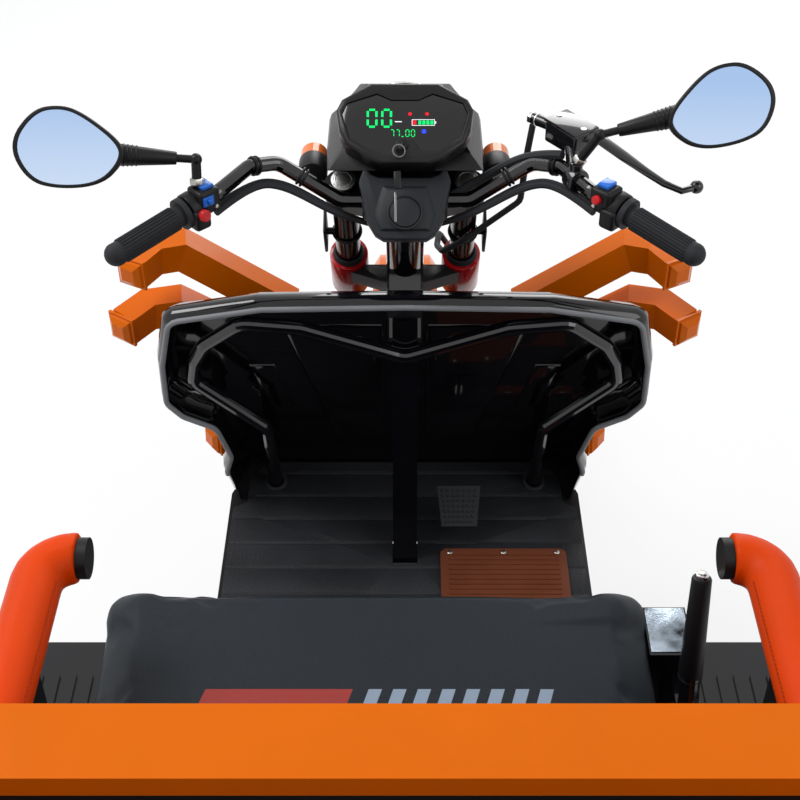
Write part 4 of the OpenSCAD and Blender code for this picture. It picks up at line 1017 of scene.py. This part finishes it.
for off in (-0.006, 0.006):
    red_parts.append(pod_block(1, 0.013 + off, 0.0065, 0.016, (0.008, 0.012, 0.003), edge=0.001))
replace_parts(built("switch_housings", pods, "fork", black_plastic), "switch_pods")
built("switch_keys_blue", blue_parts, "fork", switch_blue)
built("switch_keys_red", red_parts, "fork", switch_red)
built("switch_screws", pod_screws, "fork", zinc)

# Brake master cylinder. A glossy cast reservoir with a lid on two round screws. The lever is a
# cast blade that turns on a hexagon bolt, and one banjo bolt holds the hose.
gloss_mould = enamel("gloss_mould", (0.008, 0.008, 0.01), 0.12, coat=0.6)
master_middle = at(0.240, 0.945, 1.092)
master_turn = math.radians(-53)
lid_along = Vector((math.cos(master_turn), math.sin(master_turn), 0))
clamp_middle = at(0.243, 0.874, 1.062)
lid_middle = master_middle + Vector((0, 0, 0.0185))
clamp_reach = Vector((0.505, -0.86, -0.03)).normalized() * 0.011
banjo_from, banjo_to = at(0.213, 0.978, 1.091), at(0.190, 0.998, 1.091)
lever_rows = (
    (at(0.252, 0.962, 1.086), 0.016), (at(0.284, 0.959, 1.079), 0.026), (at(0.318, 0.926, 1.068), 0.022),
    (at(0.346, 0.902, 1.058), 0.016), (at(0.372, 0.880, 1.050), 0.013), (at(0.396, 0.868, 1.045), 0.012),
    (at(0.419, 0.879, 1.045), 0.012),
)
last_row = len(lever_rows) - 1
lever_points = 12
lever_rings = []
for k, (place, wide) in enumerate(lever_rows):
    ahead = (lever_rows[min(k + 1, last_row)][0] - lever_rows[max(k - 1, 0)][0]).normalized()
    across = ahead.cross(Vector((0, 0, 1))).normalized()
    over = across.cross(ahead)
    ring = []
    for j in range(lever_points):
        turn = 2 * math.pi / lever_points * j
        ring.append(place + across * (math.cos(turn) * wide / 2) + over * (math.sin(turn) * 0.0048))
    lever_rings.append(ring)
master_parts = [
    block(master_middle, (0.066, 0.042, 0.034), edge=0.004, turn=(0, 0, master_turn), steps=3),
    block(lid_middle, (0.070, 0.046, 0.005), edge=0.002, turn=(0, 0, master_turn)),
    rod(clamp_middle - clamp_reach, clamp_middle + clamp_reach, 0.017, edge=0.002, sides=40),
    rod(clamp_middle, master_middle - Vector((0, 0.010, 0.004)), 0.0105),
    rod(clamp_middle, clamp_middle + Vector((0, 0, 0.025)), 0.009, edge=0.001),
    rod(banjo_from, banjo_to, 0.009),
    moulded(lever_rings),
    ball(lever_rows[-1][0], 0.010),
]
master = built("brake_master_cast", master_parts, "fork", gloss_mould)
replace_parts(master, "brake_master")
lid_screws = []
for off in (-0.026, 0.026):
    place = master_middle + lid_along * off + Vector((0, 0, 0.0208))
    lid_screws.append(rod(place, place + Vector((0, 0, 0.0012)), 0.0042, edge=0.0005))
banjo_along = (banjo_to - banjo_from).normalized()
banjo_seat, banjo_top = banjo_to - banjo_along * 0.001, banjo_to + banjo_along * 0.006
lid_screws.append(rod(banjo_seat, banjo_top, 0.0095, edge=0.0008, sides=6))
lid_screws.append(hoop(banjo_to - banjo_along * 0.008, banjo_along, 0.0092, 0.0012))
lid_screws.append(rod(at(0.284, 0.959, 1.0815), at(0.284, 0.959, 1.0875), 0.0065, edge=0.0008, sides=6))
built("master_screws", lid_screws, "fork", silver)

# Mirrors. Black moulded shells hold flat glass. Each stands on a thin stalk in a tapered, ringed
# boot, locked by a hexagon nut at its foot.
def softened(outline, times):
    """Rounds an outline by cutting its corners again and again."""
    points = [Vector(point) for point in outline]
    for _ in range(times):
        cut_points = []
        for here, following in zip(points, points[1:] + points[:1]):
            cut_points += [here.lerp(following, 0.25), here.lerp(following, 0.75)]
        points = cut_points
    return points


# The panes are blue-tinted glass. Their grading from pale blue at the top to deeper blue below is a painted
# reflection, ramped by height.
mirror_tint_and_reflection = enamel("mirror_glass", (0.62, 0.74, 0.93), 0.02, metallic=1.0, cloud=0.02, grain=0.0)
nodes, links = mirror_tint_and_reflection.node_tree.nodes, mirror_tint_and_reflection.node_tree.links
split = nodes.new("ShaderNodeSeparateXYZ")
links.new(nodes["Texture Coordinate"].outputs["Object"], split.inputs[0])
reflection_height_share = nodes.new("ShaderNodeMapRange")
reflection_height_share.inputs["From Min"].default_value = 1.10
reflection_height_share.inputs["From Max"].default_value = 1.21
links.new(split.outputs["Z"], reflection_height_share.inputs["Value"])
painted_reflection_ramp = nodes.new("ShaderNodeValToRGB")
painted_reflection_ramp.color_ramp.elements[0].color = (0.62, 0.74, 0.92, 1)
painted_reflection_ramp.color_ramp.elements[1].color = (0.40, 0.56, 0.84, 1)
links.new(reflection_height_share.outputs["Result"], painted_reflection_ramp.inputs["Fac"])
links.new(painted_reflection_ramp.outputs["Color"], nodes["Principled BSDF"].inputs["Base Color"])
mirror_outline = softened((
    (0.072, 0.022), (0.031, 0.060), (-0.006, 0.058), (-0.033, 0.039), (-0.072, -0.012),
    (-0.064, -0.036), (-0.030, -0.058), (0.023, -0.051), (0.060, -0.031),
), 3)
mirror_stretch = 1.07
mirror_lean = math.radians(62)
mirror_up = Vector((0, math.cos(mirror_lean), math.sin(mirror_lean)))
mirror_out = Vector((0, -math.sin(mirror_lean), math.cos(mirror_lean)))


def mirror_ring(side, middle, roll, share, out):
    """The mirror's outline, drawn in by a share and moved out of its plane."""
    ring = []
    for point in mirror_outline:
        x, y = side * point.x * share * mirror_stretch, point.y * share
        over = x * math.cos(roll) - y * math.sin(roll)
        up = x * math.sin(roll) + y * math.cos(roll)
        ring.append(middle + Vector((over, 0, 0)) + mirror_up * up + mirror_out * out)
    return ring


# Each level of a shell or a glass gives a share of the outline and how far out it lies.
shell_levels = (
    (0.35, -0.028), (0.62, -0.026), (0.86, -0.020), (0.97, -0.012), (1.0, -0.005),
    (1.0, 0.0022), (0.97, 0.0035), (0.925, 0.0035), (0.905, 0.001),
)
glass_levels = ((0.91, 0.0), (0.91, 0.002))
shells, glasses, arm_rings, foot_nuts = [], [], [], []
for side, foot, elbow, middle, roll in (
    (-1, at(-0.288, 0.818, 1.0835), at(-0.2875, 0.830, 1.1185), at(-0.455, 0.805, 1.150), math.radians(12)),
    (1, at(0.243, 0.874, 1.086), at(0.272, 0.874, 1.132), at(0.433, 0.864, 1.180), math.radians(1)),
):
    shells.append(moulded([mirror_ring(side, middle, roll, *level) for level in shell_levels]))
    glasses.append(moulded([mirror_ring(side, middle, roll, *level) for level in glass_levels]))
    tip = middle + Vector((-side * 0.040, 0.010, -0.014))
    along = (tip - elbow).normalized()
    up = (elbow - foot).normalized()
    shells.append(rod(foot, elbow, 0.0068, sides=32))
    shells.append(ball(elbow, 0.0085))
    shells.append(rod(elbow, elbow.lerp(tip, 0.3), 0.0056, sides=32))
    shells.append(rod(elbow.lerp(tip, 0.2), tip, 0.0088, edge=0.0015, sides=32, end_radius=0.0175))
    for k in range(5):
        share = 0.62 + 0.045 * k
        boot_radius = 0.0088 + 0.0087 * (share - 0.2) / 0.8
        arm_rings.append(hoop(elbow.lerp(tip, share), along, boot_radius, 0.0011, sides=32, section=8))
    foot_nuts.append(rod(foot + up * 0.002, foot + up * 0.011, 0.0105, edge=0.0008, sides=6))
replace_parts(built("mirror_shells", shells, "fork", black_plastic, smooth=50), "mirrors")
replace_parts(built("mirror_panes", glasses, "fork", mirror_tint_and_reflection), "mirror_glass")
built("mirror_arm_rings", arm_rings, "fork", black_plastic)
built("mirror_nuts", foot_nuts, "fork", zinc)


# Instruments. A moulded case with a chamfered rim holds a smoked glossy window, and the lit
# digits and signs lie on its face.
case_black = enamel("case_black", (0.007, 0.007, 0.008), 0.3, coat=0.1, grain=0.3, grain_size=1400)
smoked_window = enamel("smoked_window", (0.003, 0.003, 0.004), 0.08, coat=0.5, cloud=0.02, grain=0.004)
dash_origin, dash_lean = at(0, 0.892, 1.075), math.radians(36)
dash_up = Vector((0, math.cos(dash_lean), math.sin(dash_lean)))
dash_out = Vector((0, -math.sin(dash_lean), math.cos(dash_lean)))
dash_middle = 0.066
window_face = -0.005 + 0.0003 + 0.003


def on_dash(x, up, out=window_face):
    return dash_origin + Vector((x, 0, 0)) + dash_up * up + dash_out * out


def mirrored(half):
    """A whole outline from its right half, which is listed upwards."""
    return list(half) + [(-x, y) for x, y in reversed(half)]


def dash_ring(half, share, out):
    """An outline on the instruments' slope, drawn in towards their middle."""
    places = []
    for x, y in mirrored(half):
        places.append(on_dash(x * share, dash_middle + (y - dash_middle) * share, out))
    return places


case_half = (
    (0.035, 0.0015), (0.055, 0.011), (0.086, 0.032), (0.095, 0.052), (0.100, 0.085), (0.092, 0.102),
    (0.050, 0.127),
)
window_half = (
    (0.011, 0.038), (0.022, 0.022), (0.049, 0.022), (0.080, 0.040), (0.091, 0.078), (0.084, 0.095),
    (0.040, 0.110), (0.020, 0.100),
)
case_levels = ((1.0, -0.034), (1.0, -0.006), (0.985, -0.002), (0.95, 0.0))
case = moulded([dash_ring(case_half, *level) for level in case_levels])
pocket = moulded([dash_ring(window_half, 1.004, -0.005), dash_ring(window_half, 1.004, 0.010)])
bpy.context.view_layer.objects.active = case
recess = case.modifiers.new("recess", "BOOLEAN")
recess.object = pocket
recess.operation = "DIFFERENCE"
bpy.ops.object.modifier_apply(modifier="recess")
bpy.data.objects.remove(pocket)
rounded(case, 0.0012)
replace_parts(built("dash_moulding", [case], "fork", case_black), "dash_case")
window = moulded([dash_ring(window_half, 1.0, -0.0047), dash_ring(window_half, 1.0, window_face)])
rounded(window, 0.0008)
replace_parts(built("dash_window", [window], "fork", smoked_window), "dash_screen")


def lit(name, colour, strength):
    """A lamp's colour that glows through the window."""
    material = enamel(name, colour, 0.3)
    shader = material.node_tree.nodes["Principled BSDF"]
    shader.inputs["Emission Color"].default_value = (*colour, 1)
    shader.inputs["Emission Strength"].default_value = strength
    return material


def lit_bar(x, up, wide, high, thick=0.0008, out=window_face):
    """A small lit bar that lies on the window."""
    return block(on_dash(x, up, out), (wide, high, thick), edge=0.0002, turn=(dash_lean, 0, 0), steps=1)


def digit(x, up, wide, high, stroke, lit_numbers):
    """One seven-bar digit. Its lit bars are numbered clockwise from the top, as 0 to 5."""
    half_w, half_h = wide / 2, high / 2
    bars = (
        (0, half_h, wide, stroke), (half_w, half_h / 2, stroke, half_h),
        (half_w, -half_h / 2, stroke, half_h), (0, -half_h, wide, stroke),
        (-half_w, -half_h / 2, stroke, half_h), (-half_w, half_h / 2, stroke, half_h),
    )
    pieces = []
    for number in lit_numbers:
        dx, dy, w, h = bars[number]
        w, h = max(w - stroke * 1.3, stroke), max(h - stroke * 1.3, stroke)
        pieces.append(lit_bar(x + dx, up + dy, w, h, 0.0006, window_face + 0.0003))
    return pieces


nought, seven = (0, 1, 2, 3, 4, 5), (0, 1, 2)
charge_x, charge_up = 0.0265, 0.0652
green_bars = []
for x in (-0.0475, -0.0265):
    green_bars += digit(x, 0.0718, 0.0125, 0.0265, 0.0032, nought)
for x, bars in ((-0.0185, seven), (-0.0105, seven), (0.0035, nought), (0.0115, nought)):
    green_bars += digit(x, 0.0485, 0.0048, 0.0105, 0.0012, bars)
green_bars.append(lit_bar(-0.0035, 0.0433, 0.003, 0.0012))
for k in range(4):
    green_bars.append(lit_bar(0.0215 + 0.0058 * k, charge_up, 0.0042, 0.0062))
built("green_digits", green_bars, "fork", lit("green_glow", (0.0, 0.62, 0.12), 1.0))
red_bars = [lit_bar(0.0135, charge_up, 0.0058, 0.0064)]
for x in (0.0072, 0.0318):
    red_bars.append(rod(on_dash(x, 0.0785), on_dash(x, 0.0785, window_face + 0.0006), 0.0027, sides=16))
built("red_signs", red_bars, "fork", lit("red_glow", (0.7, 0.01, 0.02), 0.5))
blue_sign = [rod(on_dash(0.0273, 0.0512), on_dash(0.0273, 0.0512, window_face + 0.0006), 0.0034, sides=24)]
built("blue_sign", blue_sign, "fork", lit("blue_glow", (0.02, 0.05, 0.9), 0.9))
white_bars = []
for side in (-1, 1):
    white_bars.append(lit_bar(charge_x, charge_up + side * 0.0046, 0.033, 0.0008))
    white_bars.append(lit_bar(charge_x + side * 0.0162, charge_up, 0.0008, 0.009))
white_bars.append(lit_bar(0.0443, charge_up, 0.0014, 0.0035))
white_bars.append(lit_bar(-0.0095, 0.0665, 0.010, 0.0014))
built("white_signs", white_bars, "fork", lit("white_glow", (0.75, 0.78, 0.8), 0.7))

# Key. A black key stands in the lock under the window. Its split ring carries a spare one, a
# steel blade in a black bow.
key_bow = on_dash(-0.009, 0.012, 0.018)
key_parts = [
    rod(on_dash(-0.004, 0.030, -0.006), on_dash(-0.004, 0.030, 0.003), 0.0085, edge=0.001, sides=32),
    rod(on_dash(-0.004, 0.030, 0.003), key_bow, 0.0035, sides=12, end_radius=0.0045),
]
built("ignition_key", key_parts, "fork", black_plastic)
ring_parts = [
    hoop(key_bow, (0.2, -0.75, 0.6), 0.0088, 0.0007, sides=40, section=8),
    hoop(key_bow + Vector((0.0006, 0, 0.001)), (0.26, -0.7, 0.66), 0.0088, 0.0006, sides=40, section=8),
    block(at(-0.0135, 0.842, 1.0345), (0.0034, 0.0014, 0.044), edge=0.0005, turn=(math.radians(-50), 0, 0)),
]
key_steel = enamel("key_steel", (0.2, 0.2, 0.19), 0.35, metallic=1.0)
built("key_ring", ring_parts, "fork", key_steel)
spare_turn = (math.radians(-50), 0, 0.06)
spare_bow = [block(at(-0.0105, 0.866, 1.0645), (0.0105, 0.004, 0.026), edge=0.0016, turn=spare_turn)]
built("key_bow", spare_bow, "fork", case_black)

# Bar cover. A matt moulding over the clamps with a round cap pressed into its face.
cover_grey = enamel("cover_grey", (0.014, 0.016, 0.019), 0.42, grain=0.35, grain_size=1500)
cover_lean = math.radians(40)
cover_up = Vector((0, math.cos(cover_lean), math.sin(cover_lean)))
cover_out = Vector((0, -math.sin(cover_lean), math.cos(cover_lean)))
cover_foot = at(0, 0.830, 0.985)
cap_middle = cover_foot + cover_up * 0.040
cover_half = (
    (0.031, 0.0025), (0.043, 0.010), (0.055, 0.030), (0.0625, 0.068), (0.067, 0.090), (0.061, 0.108),
    (0.054, 0.108), (0.050, 0.101), (0.038, 0.096),
)


def cover_ring(half, out):
    """An outline on the bar cover's slope."""
    return [cover_foot + Vector((x, 0, 0)) + cover_up * y + cover_out * out for x, y in mirrored(half)]


cover = rounded(moulded([cover_ring(cover_half, -0.018), cover_ring(cover_half, 0.0)]), 0.003, 3)
raised_low = ((0.038, 0.014), (0.046, 0.040), (0.034, 0.084))
raised_high = ((0.031, 0.017), (0.036, 0.040), (0.026, 0.076))
raised = rounded(moulded([cover_ring(raised_low, -0.001), cover_ring(raised_high, 0.0045)]), 0.0015)
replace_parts(built("cover_moulding", [cover, raised], "fork", cover_grey), "bar_cover")
cap_parts = [
    hoop(cap_middle + cover_out * 0.0082, cover_out, 0.0245, 0.0016, sides=64),
    rod(cap_middle + cover_out * 0.0075, cap_middle + cover_out * 0.0096, 0.0215, edge=0.001, sides=64),
]
built("cover_cap", cap_parts, "fork", cover_grey)

# Headlamp and signals. The cowl is a matt moulding, the clear lens covers a bright reflector
# with a chromed bezel, and each signal is an amber dome in a black cup.
cowl = copy_of("headlamp", "lamp_cowl")
cowl_levels = (
    (0.950, 0.092), (0.966, 0.106), (1.006, 0.108), (1.027, 0.113), (1.038, 0.118), (1.049, 0.114),
    (1.066, 0.096), (1.090, 0.076), (1.125, 0.050),
)
for height, half in cowl_levels:
    cut_across(cowl, (0, 0, height), (0, 0, 1))
for vertex in cowl.data.vertices:
    for (low_z, low_half), (high_z, high_half) in zip(cowl_levels, cowl_levels[1:]):
        if low_z <= vertex.co.z <= high_z:
            share = (vertex.co.z - low_z) / (high_z - low_z)
            vertex.co.x = math.copysign(low_half + (high_half - low_half) * share, vertex.co.x)
cowl = rounded(cowl, 0.006, 3)
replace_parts(built("lamp_cowl", [cowl], "fork", case_black), "headlamp")
lens_glass = enamel("lens_glass", (0.9, 0.93, 0.96), 0.05, coat=0.4, cloud=0.02)
lens_glass.node_tree.nodes["Principled BSDF"].inputs["Transmission Weight"].default_value = 0.75
wear(lens_glass, "headlamp_lens")
lens_low, lens_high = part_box("headlamp_lens")
lens_middle = (lens_low + lens_high) / 2
lens_parts = [hoop((0, lens_low.y + 0.003, lens_middle.z), (0, 1, 0), 0.0585, 0.004, sides=72)]
built("lamp_bezel", lens_parts, "fork", silver)
reflector = [
    rod((0, lens_low.y + 0.002, lens_middle.z), (0, lens_low.y + 0.0035, lens_middle.z), 0.05, sides=64),
    hoop((0, lens_low.y + 0.006, lens_middle.z), (0, 1, 0), 0.03, 0.003, sides=64),
    ball((0, lens_low.y + 0.004, lens_middle.z), 0.012, (1, 0.5, 1)),
]
built("lamp_reflector", reflector, "fork", silver)
wear(amber, "turn_signals")
signal_low, signal_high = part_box("turn_signals")
cups = []
for side in (-1, 1):
    x = side * (signal_high.x - 0.021)
    z = (signal_low.z + signal_high.z) / 2
    cup_back, cup_front = (x, signal_low.y - 0.0015, z), (x, signal_low.y + 0.040, z)
    stalk_y = signal_low.y + 0.054
    cups.append(rod(cup_back, cup_front, 0.0225, edge=0.002, sides=48))
    cups.append(rod((x - side * 0.024, stalk_y, z), (x - side * 0.012, stalk_y, z), 0.0095, sides=24))
built("signal_cups", cups, "fork", black_plastic)

# Wheels. Tubeless tyres with five rows of tread blocks on pressed steel rims, painted silver
# grey. Five nuts hold each rear rim, six bolts the front disc, and every rim has a rubber valve.
def turned_about(piece, centre, count):
    """Repeats a piece round a wheel's axle."""
    bpy.ops.object.select_all(action="DESELECT")
    bpy.ops.object.empty_add(location=(0, 0, 0))
    step = bpy.context.object
    centre = Vector(centre)
    turn = Matrix.Rotation(2 * math.pi / count, 4, "X")
    step.matrix_world = Matrix.Translation(centre) @ turn @ Matrix.Translation(-centre)
    bpy.context.view_layer.update()
    step.select_set(False)
    piece.select_set(True)
    bpy.context.view_layer.objects.active = piece
    bpy.ops.object.transform_apply(location=True, rotation=True, scale=True)
    ring = piece.modifiers.new("ring", "ARRAY")
    ring.count = count
    ring.use_relative_offset = False
    ring.use_object_offset = True
    ring.offset_object = step
    bpy.ops.object.modifier_apply(modifier="ring")
    bpy.data.objects.remove(step)
    return piece


tyre_rubber = enamel(
    "tyre_rubber", (0.017, 0.017, 0.018), 0.72, cloud=0.25, cloud_size=20, grain=0.35, grain_size=500,
)
rim_silver = enamel("rim_silver", (0.45, 0.46, 0.48), 0.3, metallic=0.85, grain=0.08, grain_size=400)
wear(rim_silver, "front_rim", "rear_rim_left", "rear_rim_right")
wear(tyre_rubber, "front_tyre", "rear_tyre_left", "rear_tyre_right")
tyre_outer, section_r, groove = 0.255, 0.050, 0.0045
crown_radius = tyre_outer - section_r
bead_rings = ((0.176, 0.0403), (0.197, 0.0497))
tread_count = 60
tread_pitch = 2 * math.pi / tread_count
tread_sink = 0.0042
# Each row of the tread gives its lean in degrees, the width of its blocks and its shift in pitches.
tread_rows = ((0, 0.020, 0.0), (27, 0.015, 0.5), (-27, 0.015, 0.5), (52, 0.013, 0.0), (-52, 0.013, 0.0))
nut_count, nut_circle, hub_face = 5, 0.052, 0.0335
disc_bolt_count, disc_circle = 6, 0.046
for tyre, body in (
    ("front_tyre", "front_wheel"),
    ("rear_tyre_left", "rear_wheel_left"),
    ("rear_tyre_right", "rear_wheel_right"),
):
    low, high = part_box(tyre)
    middle = (low + high) / 2
    outward = 1 if middle.x >= 0 else -1
    carcass = copy_of(tyre, body + "_carcass")
    for vertex in carcass.data.vertices:
        away = vertex.co - middle
        reach = math.hypot(away.y, away.z)
        if reach > crown_radius:
            lift = max(0.0, (reach - crown_radius) / section_r)
            share = (section_r - groove * lift) / section_r
            vertex.co.x = middle.x + away.x * share
            scale = (crown_radius + (reach - crown_radius) * share) / reach
            vertex.co.y = middle.y + away.y * scale
            vertex.co.z = middle.z + away.z * scale
    side_rings = []
    for side in (-1, 1):
        for radius, off in bead_rings:
            place = (middle.x + side * off, middle.y, middle.z)
            side_rings.append(hoop(place, (1, 0, 0), radius, 0.0014, sides=96, section=6))
    blocks = []
    for lean, wide, shift in tread_rows:
        tilt = math.radians(lean)
        phase = tread_pitch * shift
        out = Vector((math.sin(tilt), 0, math.cos(tilt)))
        place = Vector((0, 0, crown_radius)) + out * (section_r - tread_sink)
        place = middle + Matrix.Rotation(phase, 3, "X") @ place
        lug = block(place, (wide, 0.0165, 0.008), edge=0.0012, turn=(phase, tilt, 0), steps=1)
        blocks.append(turned_about(lug, middle, tread_count))
    new_tyre = built(body + "_tyre", [carcass] + side_rings + blocks, body, tyre_rubber, smooth=30)
    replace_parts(new_tyre, tyre)
    valve_foot = middle + Vector((outward * 0.012, 0.0, 0.148))
    valve_neck = valve_foot + Vector((outward * 0.02, 0, -0.022))
    valve_tip = valve_foot + Vector((outward * 0.025, 0, -0.0275))
    valve = [
        rod(valve_foot, valve_neck, 0.0045, sides=16, end_radius=0.003),
        rod(valve_neck, valve_tip, 0.0042, edge=0.0006, sides=16),
    ]
    built(body + "_valve", valve, body, rubber_black)
    nuts = []
    if body == "front_wheel":
        for k in range(disc_bolt_count):
            turn = 2 * math.pi / disc_bolt_count * k
            place = middle + Vector((0.0535, disc_circle * math.cos(turn), disc_circle * math.sin(turn)))
            nuts += bolt(place, (1, 0, 0), 0.009, 0.0055)
    else:
        for k in range(nut_count):
            turn = 2 * math.pi / nut_count * k
            place = Vector((outward * 0.0105, nut_circle * math.cos(turn), nut_circle * math.sin(turn)))
            place += middle
            nut_foot = place - Vector((outward * 0.004, 0, 0))
            nut_top = place + Vector((outward * 0.0075, 0, 0))
            nuts.append(rod(nut_foot, nut_top, 0.0105, edge=0.001, sides=6))
        nuts.append(ball(middle + Vector((outward * hub_face, 0, 0)), 0.024, (0.35, 1, 1)))
    built(body + "_nuts", nuts, body, zinc)
